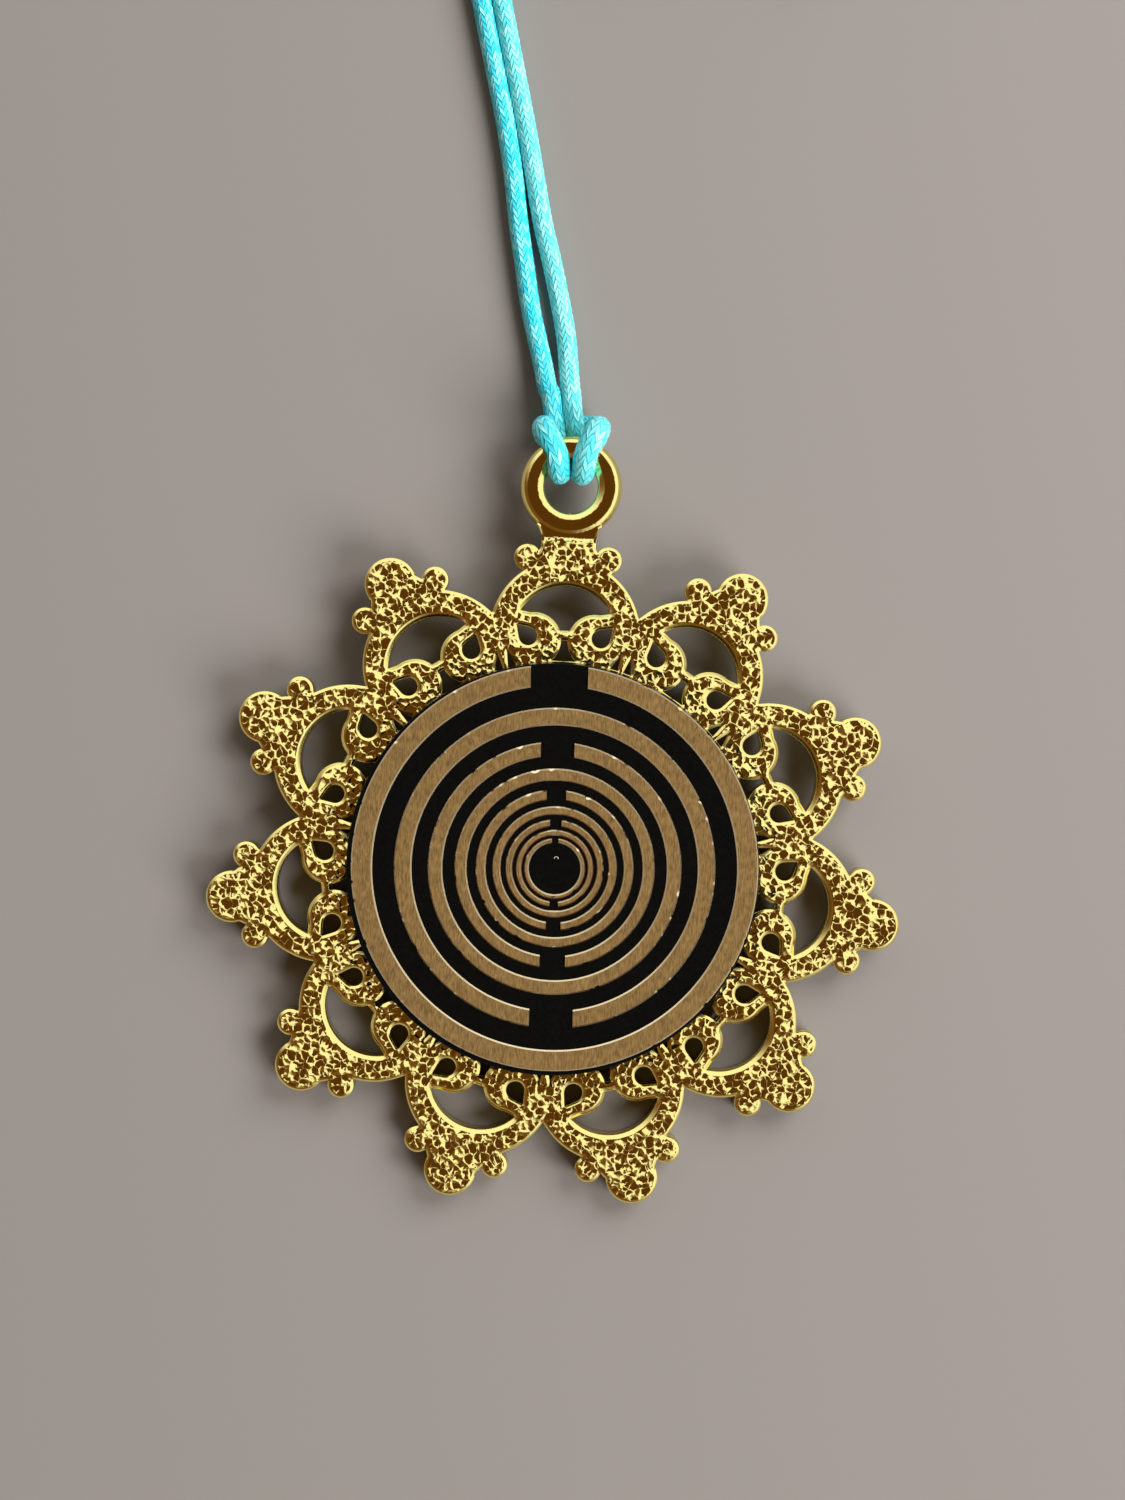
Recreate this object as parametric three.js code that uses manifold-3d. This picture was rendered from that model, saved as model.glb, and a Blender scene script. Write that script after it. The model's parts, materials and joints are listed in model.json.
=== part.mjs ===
import * as THREE from "three";
import { mergeVertices } from "three/addons/utils/BufferGeometryUtils.js";
import Module from "manifold-3d";

const wasm = await Module();
wasm.setup();

// A round pendant on a cord, lying face up. Lengths are in millimetres, +Z is up and +Y runs to the bail.
// The pendant's own frame has its origin in the middle of the casting's flat back.

// Cast frame
const LOBES = 11;
const FRAME_THICKNESS = 2.0;
const RIM_CHAMFER = 0.28;
const PLATE_RADIUS = 15.6;
const TRAY_RADIUS = 12.5;
const TRAY_DEPTH = 1.0;

// Arch of one lobe, with its window
const ARCH_CENTRE = 16.88;
const ARCH_RADIUS = 5.5;
const WINDOW_CENTRE = 16.58;
const WINDOW_RADIUS = 3.8;
const WINDOW_CORNER = 18.49;

// Pair of scrolls that stand under the window, with their eyelets
const SCROLL_SIDE = 2.19;
const SCROLL_CENTRE = 16.42;
const SCROLL_RADIUS = 1.97;
const SCROLL_SHOULDER_ANGLE = 100;
const BRIDGE_OUTER = 17.15;
const BRIDGE_INNER = 16.4;
const EYELET_SIDE = 2.66;
const EYELET_CENTRE = 16.63;
const EYELET_RADIUS = 0.67;
const EYELET_TIP_SIDE = 3.53;
const EYELET_TIP = 17.46;
const NOTCH_FOOT = 14.9;
const SIDE_NOTCH_TIP = 15.95;
const SIDE_NOTCH_ANGLES = [13.2, 15.0, 15.6];

// Crest of one lobe: a body, one big ball and two small ones
const CREST_CENTRE = 21.9;
const CREST_RADIUS = 2.35;
const BIG_BALL_CENTRE = 23.73;
const BIG_BALL_RADIUS = 1.9;
const SMALL_BALL_SIDE = 2.96;
const SMALL_BALL_CENTRE = 22.35;
const SMALL_BALL_RADIUS = 0.97;

// Bail, cast on the top lobe in place of its big ball
const BAIL_CENTRE = 27.63;
const BAIL_WIRE_RADIUS = 0.895;
const BAIL_HOLE_RADIUS = 1.93;
const NECK_WIDTH = 4.0;

// Disc of two-layer engraving laminate, glued on the frame
const SEAT_GAP = 0.02;
const CORE_THICKNESS = 1.5;
const CORE_TOP_RADIUS = 14.95;
const CORE_TAPER = 0.15;
const CAP_THICKNESS = 0.1;
const PAD_MARGIN = 0.3;
const DISC_SHIFT_X = 0.03;
const DISC_SHIFT_Y = -0.12;
const DISC_TURN = 1.1;
const CORE_SHIFT_X = -0.14;
const CORE_SHIFT_Y = -0.12;

// Split rings left of the laminate's metal-faced cap, each one smaller than the last by the same shares
const RINGS = 9;
const CAP_MARGIN = 0.2;
const RING_WIDTH = 1.545;
const RING_SPLIT = 4.14;
const RING_OUTER_SHARE = 0.789;
const RING_WIDTH_SHARE = 0.829;
const RING_SPLIT_SHARE = 0.765;

// Cord: a round braided one, threaded through the bail in a lark's head hitch
const CORD_DIAMETER = 1.5;
const HITCH_CORD_DIAMETER = 1.3;
const CORD_END_GAP = 0.3;
const CORD_UNDER_BAIL = 2.0;

// Round coil of the doubled cord
const COIL_X = 1.8;
const COIL_Y = 83.5;
const COIL_RADIUS = 13.3;
const COIL_PITCH = 2.05;
const COIL_TURNS = 4.5;
const COIL_CLIMB_TURNS = 0.5;
const COIL_REVERSAL_ROUNDING = 0.05;
const COIL_STEPS_A_TURN = 24;
const COIL_TAIL_STEPS = 6;
const TAIL_DROP_SHARES = [0.3, 0.84];
const COIL_TAIL = 8.0;
const TIE_THICKNESS = 0.35;
const TIE_WIDTH = 2.4;
const TIE_CLEARANCE = 0.06;

// Knot that joins the cord's two ends
const KNOT_RADIUS = 2.1;
const KNOT_LENGTH = 4.6;
const KNOT_WRAPS = 3;
const KNOT_GROOVE = 0.35;
const KNOT_WRAP_SHARES = [0.04, 0.22, 0.5, 0.78, 0.96];
const KNOT_GROOVE_SHARES = [1, 0.25, 0, 0.25, 1];
const KNOT_TAIL = 3.4;
const KNOT_TAIL_SPREAD = 0.55;
const KNOT_STRAND_SIDE = 0.98;

// Facets
const COARSE_ARC_STEP = 22.5;
const FINE_ARC_STEP = 12;
const RING_CHORD_SAG = 0.0175;
const CUT_OVERRUN = 1.0;
const BAIL_SECTION_SIDES = 10;
const BAIL_RING_STEPS = 32;
const CORD_SIDES = 8;
const HITCH_STEPS = 64;
const RUN_STEPS = 15;
const COIL_SIDES = 6;
const KNOT_SIDES = 16;
const KNOT_TAIL_STEPS = 6;

const degrees = THREE.MathUtils.degToRad;

const gold = { color: 0xc9a227, metalness: 1.0, roughness: 0.3 };
const blackPlastic = { color: 0x0d1011, metalness: 0.0, roughness: 0.5 };
const copperFoil = { color: 0xa8825a, metalness: 0.8, roughness: 0.4 };
const whiteFoam = { color: 0xe6e4dc, metalness: 0.0, roughness: 0.9 };
const satinCord = { color: 0x45bccb, metalness: 0.0, roughness: 0.55 };
const paleBand = { color: 0xd8d2c2, metalness: 0.0, roughness: 0.7 };

function namedMesh(name, geometry, look) {
  const mesh = new THREE.Mesh(geometry, new THREE.MeshStandardMaterial(look));
  mesh.name = name;
  return mesh;
}

function signedVolume(geometry) {
  const corners = geometry.attributes.position;
  const index = geometry.index.array;
  const [a, b, c] = [new THREE.Vector3(), new THREE.Vector3(), new THREE.Vector3()];
  let volume = 0;
  for (let i = 0; i < index.length; i += 3) {
    a.fromBufferAttribute(corners, index[i]);
    b.fromBufferAttribute(corners, index[i + 1]);
    c.fromBufferAttribute(corners, index[i + 2]);
    volume += a.dot(b.cross(c)) / 6;
  }
  return volume;
}

// Joins a geometry's shared vertices and turns its faces outward.
function closed(geometry) {
  const bare = geometry.clone();
  bare.deleteAttribute("normal");
  bare.deleteAttribute("uv");
  const merged = mergeVertices(bare);
  if (signedVolume(merged) < 0) {
    const index = merged.index.array;
    for (let i = 0; i < index.length; i += 3) {
      [index[i + 1], index[i + 2]] = [index[i + 2], index[i + 1]];
    }
  }
  return merged;
}

function toSolid(geometry) {
  const merged = closed(geometry);
  const mesh = new wasm.Mesh({
    numProp: 3,
    vertProperties: new Float32Array(merged.attributes.position.array),
    triVerts: new Uint32Array(merged.index.array),
  });
  return new wasm.Manifold(mesh);
}

function toGeometry(solid) {
  const mesh = solid.getMesh();
  const geometry = new THREE.BufferGeometry();
  geometry.setAttribute("position", new THREE.BufferAttribute(new Float32Array(mesh.vertProperties), 3));
  geometry.setIndex(new THREE.BufferAttribute(new Uint32Array(mesh.triVerts), 1));
  return geometry;
}

function joined(solids) {
  return solids.reduce((whole, solid) => whole.add(solid));
}

// Points of an arc from one angle to the other, both in degrees, at steps of at most the given angle.
function arc(x, y, radius, from, to, step) {
  const count = Math.max(1, Math.ceil(Math.abs(to - from) / step));
  const points = [];
  for (let i = 0; i <= count; i += 1) {
    const angle = degrees(from + ((to - from) * i) / count);
    points.push(new THREE.Vector2(x + radius * Math.cos(angle), y + radius * Math.sin(angle)));
  }
  return points;
}

// Round solid about the Z axis from a profile of [radius, height] pairs that starts and ends on the axis.
function turned(profile, step) {
  const points = profile.map(([radius, height]) => new THREE.Vector2(radius, height));
  const geometry = new THREE.LatheGeometry(points, Math.round(360 / step));
  return geometry.rotateX(Math.PI / 2);
}

// Round boss of the casting, flat behind and with the bright chamfered rim in front.
function boss(x, y, radius, step) {
  const profile = [
    [0, 0],
    [radius, 0],
    [radius, FRAME_THICKNESS - RIM_CHAMFER],
    [radius - RIM_CHAMFER, FRAME_THICKNESS],
    [0, FRAME_THICKNESS],
  ];
  return toSolid(turned(profile, step).translate(x, y, 0));
}

// Cutter right through the casting; a flared one leaves the chamfered rim round the hole.
function cutter(points, flared) {
  const shape = new THREE.Shape(points);
  const depth = FRAME_THICKNESS + 2 * CUT_OVERRUN;
  const straight = new THREE.ExtrudeGeometry(shape, { depth, bevelEnabled: false });
  const solid = toSolid(straight.translate(0, 0, -CUT_OVERRUN));
  if (!flared) {
    return solid;
  }
  const flare = new THREE.ExtrudeGeometry(shape, {
    depth: CUT_OVERRUN,
    bevelThickness: RIM_CHAMFER,
    bevelSize: RIM_CHAMFER,
    bevelSegments: 1,
  });
  return solid.add(toSolid(flare.translate(0, 0, FRAME_THICKNESS)));
}

// Arched window: the arch's inner arc above, the tops of both scrolls below.
function windowPoints() {
  const corner = THREE.MathUtils.radToDeg(Math.asin((WINDOW_CORNER - WINDOW_CENTRE) / WINDOW_RADIUS));
  const valley = THREE.MathUtils.radToDeg(Math.asin((BRIDGE_OUTER - SCROLL_CENTRE) / SCROLL_RADIUS));
  const shoulder = SCROLL_SHOULDER_ANGLE;
  const step = COARSE_ARC_STEP;
  return [
    ...arc(0, WINDOW_CENTRE, WINDOW_RADIUS, corner, 180 - corner, FINE_ARC_STEP),
    ...arc(-SCROLL_SIDE, SCROLL_CENTRE, SCROLL_RADIUS, shoulder, valley, step),
    ...arc(SCROLL_SIDE, SCROLL_CENTRE, SCROLL_RADIUS, 180 - valley, 180 - shoulder, step),
  ];
}

// Drop-shaped eyelet in a scroll, on the side given by the sign: a round end and a point outward.
function eyeletPoints(sign) {
  const away = new THREE.Vector2(EYELET_TIP_SIDE - EYELET_SIDE, EYELET_TIP - EYELET_CENTRE);
  const lean = THREE.MathUtils.radToDeg(away.angle());
  const opening = THREE.MathUtils.radToDeg(Math.acos(EYELET_RADIUS / away.length()));
  const [from, to] = [lean + opening, lean + 360 - opening];
  const points = arc(EYELET_SIDE, EYELET_CENTRE, EYELET_RADIUS, from, to, COARSE_ARC_STEP);
  points.push(new THREE.Vector2(EYELET_TIP_SIDE, EYELET_TIP));
  return points.map((point) => new THREE.Vector2(sign * point.x, point.y));
}

// Gap between the two scrolls inside their bridge, which runs in under the disc.
function notchPoints() {
  const top = THREE.MathUtils.radToDeg(Math.asin((BRIDGE_INNER - SCROLL_CENTRE) / SCROLL_RADIUS));
  const foot = THREE.MathUtils.radToDeg(Math.asin((NOTCH_FOOT - SCROLL_CENTRE) / SCROLL_RADIUS));
  const step = COARSE_ARC_STEP;
  return [
    ...arc(-SCROLL_SIDE, SCROLL_CENTRE, SCROLL_RADIUS, top, foot, step),
    ...arc(SCROLL_SIDE, SCROLL_CENTRE, SCROLL_RADIUS, 180 - foot, 180 - top, step),
  ];
}

// Small three-cornered gap between a scroll and the leg of the arch.
function sideNotchPoints(sign) {
  const [near, tip, far] = SIDE_NOTCH_ANGLES.map(degrees);
  const place = (radius, angle) => {
    return new THREE.Vector2(sign * Math.sin(angle), Math.cos(angle)).multiplyScalar(radius);
  };
  return [place(NOTCH_FOOT, near), place(SIDE_NOTCH_TIP, tip), place(NOTCH_FOOT, far)];
}

function turnedAboutCentre(solid, lobe) {
  return solid.rotate([0, 0, (-360 * lobe) / LOBES]);
}

function bail() {
  const ringRadius = BAIL_HOLE_RADIUS + BAIL_WIRE_RADIUS;
  const ring = new THREE.TorusGeometry(ringRadius, BAIL_WIRE_RADIUS, BAIL_SECTION_SIDES, BAIL_RING_STEPS);
  ring.translate(0, BAIL_CENTRE, FRAME_THICKNESS / 2);
  const half = NECK_WIDTH / 2;
  const section = new THREE.Shape([
    new THREE.Vector2(-half, 0),
    new THREE.Vector2(half, 0),
    new THREE.Vector2(half, FRAME_THICKNESS - RIM_CHAMFER),
    new THREE.Vector2(half - RIM_CHAMFER, FRAME_THICKNESS),
    new THREE.Vector2(RIM_CHAMFER - half, FRAME_THICKNESS),
    new THREE.Vector2(-half, FRAME_THICKNESS - RIM_CHAMFER),
  ]);
  const reach = BAIL_CENTRE - ringRadius - CREST_CENTRE;
  const neck = new THREE.ExtrudeGeometry(section, { depth: reach, bevelEnabled: false });
  neck.rotateX(Math.PI / 2).translate(0, CREST_CENTRE + reach, 0);
  return toSolid(ring).add(toSolid(neck));
}

function filigreeFrame() {
  const crest = [
    boss(0, ARCH_CENTRE, ARCH_RADIUS, FINE_ARC_STEP),
    boss(0, CREST_CENTRE, CREST_RADIUS, COARSE_ARC_STEP),
    boss(-SMALL_BALL_SIDE, SMALL_BALL_CENTRE, SMALL_BALL_RADIUS, COARSE_ARC_STEP),
    boss(SMALL_BALL_SIDE, SMALL_BALL_CENTRE, SMALL_BALL_RADIUS, COARSE_ARC_STEP),
  ];
  const topLobe = joined(crest).add(bail());
  const plainLobe = joined(crest).add(boss(0, BIG_BALL_CENTRE, BIG_BALL_RADIUS, COARSE_ARC_STEP));
  const holes = joined([
    cutter(windowPoints(), true),
    cutter(eyeletPoints(1), true),
    cutter(eyeletPoints(-1).reverse(), true),
    cutter(notchPoints(), false),
    cutter(sideNotchPoints(1), false),
    cutter(sideNotchPoints(-1), false),
  ]);
  let frame = boss(0, 0, PLATE_RADIUS, FINE_ARC_STEP);
  for (let lobe = 0; lobe < LOBES; lobe += 1) {
    frame = frame.add(turnedAboutCentre(lobe === 0 ? topLobe : plainLobe, lobe));
  }
  for (let lobe = 0; lobe < LOBES; lobe += 1) {
    frame = frame.subtract(turnedAboutCentre(holes, lobe));
  }
  const floor = FRAME_THICKNESS - TRAY_DEPTH;
  const above = FRAME_THICKNESS + CUT_OVERRUN;
  const tray = turned([[0, floor], [TRAY_RADIUS, floor], [TRAY_RADIUS, above], [0, above]], FINE_ARC_STEP);
  return toGeometry(frame.subtract(toSolid(tray)));
}

function adhesivePad() {
  const radius = TRAY_RADIUS - PAD_MARGIN;
  const foot = FRAME_THICKNESS - TRAY_DEPTH + SEAT_GAP;
  const top = FRAME_THICKNESS;
  return closed(turned([[0, foot], [radius, foot], [radius, top], [0, top]], FINE_ARC_STEP));
}

// Black core, cut with a slight taper and a little off the centre of what is engraved on it.
function discCore() {
  const foot = FRAME_THICKNESS + SEAT_GAP;
  const top = foot + CORE_THICKNESS;
  const profile = [[0, foot], [CORE_TOP_RADIUS + CORE_TAPER, foot], [CORE_TOP_RADIUS, top], [0, top]];
  return closed(turned(profile, FINE_ARC_STEP / 2).translate(CORE_SHIFT_X, CORE_SHIFT_Y, 0));
}

// One split ring; the split has parallel sides and lies at the top on odd rings, at the bottom on even ones.
function capRing(ring) {
  const outer = (CORE_TOP_RADIUS - CAP_MARGIN) * RING_OUTER_SHARE ** ring;
  const inner = outer - RING_WIDTH * RING_WIDTH_SHARE ** ring;
  const split = RING_SPLIT * RING_SPLIT_SHARE ** ring;
  const middle = ring % 2 === 0 ? 90 : 270;
  const step = THREE.MathUtils.radToDeg(2 * Math.acos(1 - RING_CHORD_SAG / outer));
  const outerSide = THREE.MathUtils.radToDeg(Math.asin(split / 2 / outer));
  const innerSide = THREE.MathUtils.radToDeg(Math.asin(split / 2 / inner));
  const shape = new THREE.Shape([
    ...arc(0, 0, outer, middle + outerSide, middle + 360 - outerSide, step),
    ...arc(0, 0, inner, middle + 360 - innerSide, middle + innerSide, step),
  ]);
  const geometry = new THREE.ExtrudeGeometry(shape, { depth: CAP_THICKNESS, bevelEnabled: false });
  return closed(geometry.translate(0, 0, FRAME_THICKNESS + CORE_THICKNESS + 2 * SEAT_GAP));
}

const pendant = new THREE.Group();
pendant.add(namedMesh("filigree_frame", filigreeFrame(), gold));
pendant.add(namedMesh("adhesive_pad", adhesivePad(), whiteFoam));

const disc = new THREE.Group();
disc.position.set(DISC_SHIFT_X, DISC_SHIFT_Y, 0);
disc.rotation.z = degrees(DISC_TURN);
disc.add(namedMesh("disc_core", discCore(), blackPlastic));
for (let ring = 0; ring < RINGS; ring += 1) {
  disc.add(namedMesh(`cap_ring_${ring + 1}`, capRing(ring), copperFoil));
}
pendant.add(disc);

// The bail end lies on the cord, so the pendant leans on its lower lobes by a small angle.
const bailTop = new THREE.Vector3(0, BAIL_CENTRE + BAIL_HOLE_RADIUS + BAIL_WIRE_RADIUS, FRAME_THICKNESS / 2);
const lowerTips = Math.cos(degrees(180 / LOBES)) * BIG_BALL_CENTRE + BIG_BALL_RADIUS;
const bailRise = CORD_UNDER_BAIL + BAIL_WIRE_RADIUS - bailTop.z;
pendant.rotation.x = Math.asin(bailRise / (bailTop.y + lowerTips));
pendant.position.z = lowerTips * Math.sin(pendant.rotation.x);
pendant.updateMatrixWorld(true);
bailTop.applyMatrix4(pendant.matrixWorld);

// The hitch's route, in millimetres from the middle of the bail's top: each strand comes over the crossbar,
// dives under the bail, rises through its hole and goes back over it to its end of the crossbar.
const HITCH_ROUTE = [
  [-1.8, 4.05, -1.05],
  [-1.64, 3.1, -0.72],
  [-1.48, 2.15, -0.72],
  [-1.2, 1.25, -1.25],
  [-0.95, 0.25, -1.76],
  [-0.86, -0.95, -1.68],
  [-0.82, -1.85, -0.98],
  [-0.83, -2.14, 0.05],
  [-0.86, -1.84, 1.12],
  [-0.98, -0.98, 1.78],
  [-1.28, 0.2, 1.98],
  [-1.95, 1.3, 1.62],
  [-2.6, 2.05, 0.6],
  [-2.88, 2.45, -0.7],
  [-2.45, 2.5, -1.8],
  [-1.6, 2.4, -2.18],
  [-0.7, 2.35, -2.18],
  [0.25, 2.4, -2.15],
  [1.2, 2.45, -1.85],
  [1.7, 2.4, -0.75],
  [1.62, 2.05, 0.55],
  [1.3, 1.3, 1.6],
  [0.98, 0.2, 1.98],
  [0.78, -0.98, 1.78],
  [0.72, -1.84, 1.12],
  [0.7, -2.14, 0.05],
  [0.68, -1.85, -0.98],
  [0.62, -0.95, -1.68],
  [0.52, 0.25, -1.76],
  [0.25, 1.25, -1.25],
  [-0.06, 2.15, -0.72],
  [-0.2, 3.1, -0.72],
  [-0.3, 4.05, -1.05],
];

// The free strands' routes, in millimetres from the pendant's middle on the floor.
const LEFT_ROUTE = [
  [-1.86, 34.78, 1.72],
  [-2.25, 36.7, 1.12],
  [-2.75, 38.7, 0.85],
  [-3.35, 41.0, 0.76],
  [-4.0, 44.2, 0.76],
  [-4.6, 47.2, 0.76],
  [-5.2, 50.9, 0.76],
  [-5.95, 54.6, 0.76],
  [-7.1, 59.4, 0.76],
  [-8.3, 64.2, 0.76],
  [-9.6, 69.2, 0.78],
  [-11.0, 74.2, 0.95],
  [-12.1, 78.3, 1.12],
  [-12.52, 81.7, 1.16],
];
const RIGHT_ROUTE = [
  [-0.33, 34.78, 1.72],
  [-0.55, 36.7, 1.12],
  [-0.85, 38.7, 0.85],
  [-1.2, 41.0, 0.76],
  [-1.85, 44.2, 0.76],
  [-2.4, 47.2, 0.76],
  [-3.2, 50.9, 0.76],
  [-4.2, 54.6, 0.76],
  [-5.45, 59.4, 0.76],
  [-6.68, 64.2, 0.76],
  [-7.95, 69.2, 0.78],
  [-9.15, 74.2, 0.95],
  [-10.1, 78.3, 1.12],
  [-10.48, 81.7, 1.16],
];

function roundSection(diameter, sides) {
  const points = [];
  for (let side = 0; side < sides; side += 1) {
    const angle = (2 * Math.PI * side) / sides;
    points.push(new THREE.Vector2((diameter / 2) * Math.cos(angle), (diameter / 2) * Math.sin(angle)));
  }
  return new THREE.Shape(points);
}

// Tube along a smooth curve through the given points.
function cordTube(points, diameter, steps) {
  const extrudePath = new THREE.CatmullRomCurve3(points, false, "centripetal");
  const section = roundSection(diameter, CORD_SIDES);
  return closed(new THREE.ExtrudeGeometry(section, { steps, extrudePath, bevelEnabled: false }));
}

// Tube of rings joined by hand, each square to the path and kept upright, for the coil's long windings.
function woundTube(path, diameter) {
  const up = new THREE.Vector3(0, 0, 1);
  const positions = [];
  const index = [];
  path.forEach((point, i) => {
    const before = path[Math.max(i - 1, 0)];
    const after = path[Math.min(i + 1, path.length - 1)];
    const along = after.clone().sub(before).normalize();
    const side = along.clone().cross(up).normalize();
    const rise = side.clone().cross(along);
    for (let corner = 0; corner < COIL_SIDES; corner += 1) {
      const angle = (2 * Math.PI * corner) / COIL_SIDES;
      const place = point.clone();
      place.addScaledVector(side, (diameter / 2) * Math.cos(angle));
      place.addScaledVector(rise, (diameter / 2) * Math.sin(angle));
      positions.push(place.x, place.y, place.z);
    }
  });
  const last = (path.length - 1) * COIL_SIDES;
  for (let i = 0; i < path.length - 1; i += 1) {
    for (let corner = 0; corner < COIL_SIDES; corner += 1) {
      const next = (corner + 1) % COIL_SIDES;
      const [a, b] = [i * COIL_SIDES + corner, i * COIL_SIDES + next];
      index.push(a, b, b + COIL_SIDES, a, b + COIL_SIDES, a + COIL_SIDES);
    }
  }
  for (let corner = 1; corner < COIL_SIDES - 1; corner += 1) {
    index.push(0, corner + 1, corner, last, last + corner, last + corner + 1);
  }
  const geometry = new THREE.BufferGeometry();
  geometry.setAttribute("position", new THREE.Float32BufferAttribute(positions, 3));
  geometry.setIndex(index);
  return closed(geometry);
}

// Path of one strand of the coil. Both strands run side by side: in and out again in two layers, climbing
// in the half turn where the spiral reverses, then straight on and down to the knot.
function coilPath(side) {
  const floorHeight = TIE_THICKNESS + TIE_CLEARANCE + CORD_DIAMETER / 2;
  const middle = COIL_TURNS / 2;
  const strandRadius = (turn) => {
    const away = Math.hypot(turn - middle, COIL_REVERSAL_ROUNDING) - COIL_REVERSAL_ROUNDING;
    const whole = Math.hypot(middle, COIL_REVERSAL_ROUNDING) - COIL_REVERSAL_ROUNDING;
    return COIL_RADIUS + 2 * COIL_PITCH * (away - whole) + (side * COIL_PITCH) / 2;
  };
  const height = (turn) => {
    const half = COIL_CLIMB_TURNS / 2;
    return floorHeight + COIL_PITCH * THREE.MathUtils.smoothstep(turn, middle - half, middle + half);
  };
  const wound = [];
  const steps = COIL_TURNS * COIL_STEPS_A_TURN;
  for (let i = 0; i <= steps; i += 1) {
    const turn = i / COIL_STEPS_A_TURN;
    const angle = Math.PI - 2 * Math.PI * turn;
    const radius = strandRadius(turn);
    const x = COIL_X + radius * Math.cos(angle);
    const y = COIL_Y + radius * Math.sin(angle);
    wound.push(new THREE.Vector3(x, y, height(turn)));
  }
  const start = wound[0].clone();
  start.y -= CORD_DIAMETER;
  const end = wound[wound.length - 1];
  const tail = [];
  for (let i = 1; i <= COIL_TAIL_STEPS; i += 1) {
    const share = i / COIL_TAIL_STEPS;
    const eased = THREE.MathUtils.smoothstep(share, TAIL_DROP_SHARES[0], TAIL_DROP_SHARES[1]);
    const x = COIL_X + COIL_RADIUS + side * THREE.MathUtils.lerp(COIL_PITCH / 2, KNOT_STRAND_SIDE, eased);
    const z = THREE.MathUtils.lerp(end.z, KNOT_RADIUS, eased);
    tail.push(new THREE.Vector3(x, end.y - COIL_TAIL * share, z));
  }
  return [start, ...wound, ...tail];
}

// Least distance between the surfaces of two windings, or of one winding's turns over a third of a turn
// apart, measured at three points a step.
function leastGap(path, other, diameter) {
  const samples = (points) => points.flatMap((point, i) => {
    const next = points[Math.min(i + 1, points.length - 1)];
    return [point, point.clone().lerp(next, 1 / 3), point.clone().lerp(next, 2 / 3)];
  });
  const [first, second] = [samples(path), samples(other)];
  let least = Infinity;
  first.forEach((point, i) => {
    second.forEach((place, k) => {
      if (path !== other || Math.abs(i - k) > COIL_STEPS_A_TURN) {
        least = Math.min(least, point.distanceTo(place));
      }
    });
  });
  return least - diameter;
}

// Barrel knot: wraps of one end round both strands, with the two cut ends behind it.
function endKnot(top) {
  const profile = [new THREE.Vector2(0, 0)];
  for (let wrap = 0; wrap < KNOT_WRAPS; wrap += 1) {
    KNOT_WRAP_SHARES.forEach((share, i) => {
      const radius = KNOT_RADIUS - KNOT_GROOVE * KNOT_GROOVE_SHARES[i];
      profile.push(new THREE.Vector2(radius, (KNOT_LENGTH * (wrap + share)) / KNOT_WRAPS));
    });
  }
  profile[1].y = 0;
  profile[profile.length - 1].y = KNOT_LENGTH;
  profile.push(new THREE.Vector2(0, KNOT_LENGTH));
  const barrel = new THREE.LatheGeometry(profile, KNOT_SIDES).rotateX(Math.PI);
  let knot = toSolid(barrel.translate(top.x, top.y, top.z));
  for (const side of [-1, 1]) {
    const foot = new THREE.Vector3(side * KNOT_STRAND_SIDE, -KNOT_LENGTH, 0).add(top);
    const start = new THREE.Vector3(0, CORD_DIAMETER, 0).add(foot);
    const reach = new THREE.Vector3(side * KNOT_TAIL_SPREAD, -KNOT_TAIL, -KNOT_RADIUS / 2);
    const bend = foot.clone().addScaledVector(reach, 1 / 2);
    const end = foot.clone().add(reach);
    knot = knot.add(toSolid(cordTube([start, foot, bend, end], CORD_DIAMETER, KNOT_TAIL_STEPS)));
  }
  return toGeometry(knot);
}

// Flat band round the coil's bundle at the side away from the pendant.
function coilTie() {
  const clear = CORD_DIAMETER / 2 + TIE_CLEARANCE;
  const turns = COIL_TURNS / 2;
  const innerRadius = COIL_RADIUS - 2 * COIL_PITCH * turns - COIL_PITCH / 2;
  const outerRadius = COIL_RADIUS + COIL_PITCH / 2;
  const low = TIE_THICKNESS + clear;
  const high = low + COIL_PITCH;
  const outline = (offset, step) => [
    ...arc(outerRadius, low, clear + offset, -90, 0, step),
    ...arc(outerRadius, high, clear + offset, 0, 90, step),
    ...arc(innerRadius, high, clear + offset, 90, 180, step),
    ...arc(innerRadius, low, clear + offset, 180, 270, step),
  ];
  const shape = new THREE.Shape(outline(TIE_THICKNESS, COARSE_ARC_STEP));
  shape.holes.push(new THREE.Path(outline(0, COARSE_ARC_STEP).reverse()));
  const band = new THREE.ExtrudeGeometry(shape, { depth: TIE_WIDTH, bevelEnabled: false });
  band.translate(0, 0, -TIE_WIDTH / 2).rotateX(Math.PI / 2).rotateZ(Math.PI / 2);
  return closed(band.translate(COIL_X, COIL_Y, 0));
}

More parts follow.
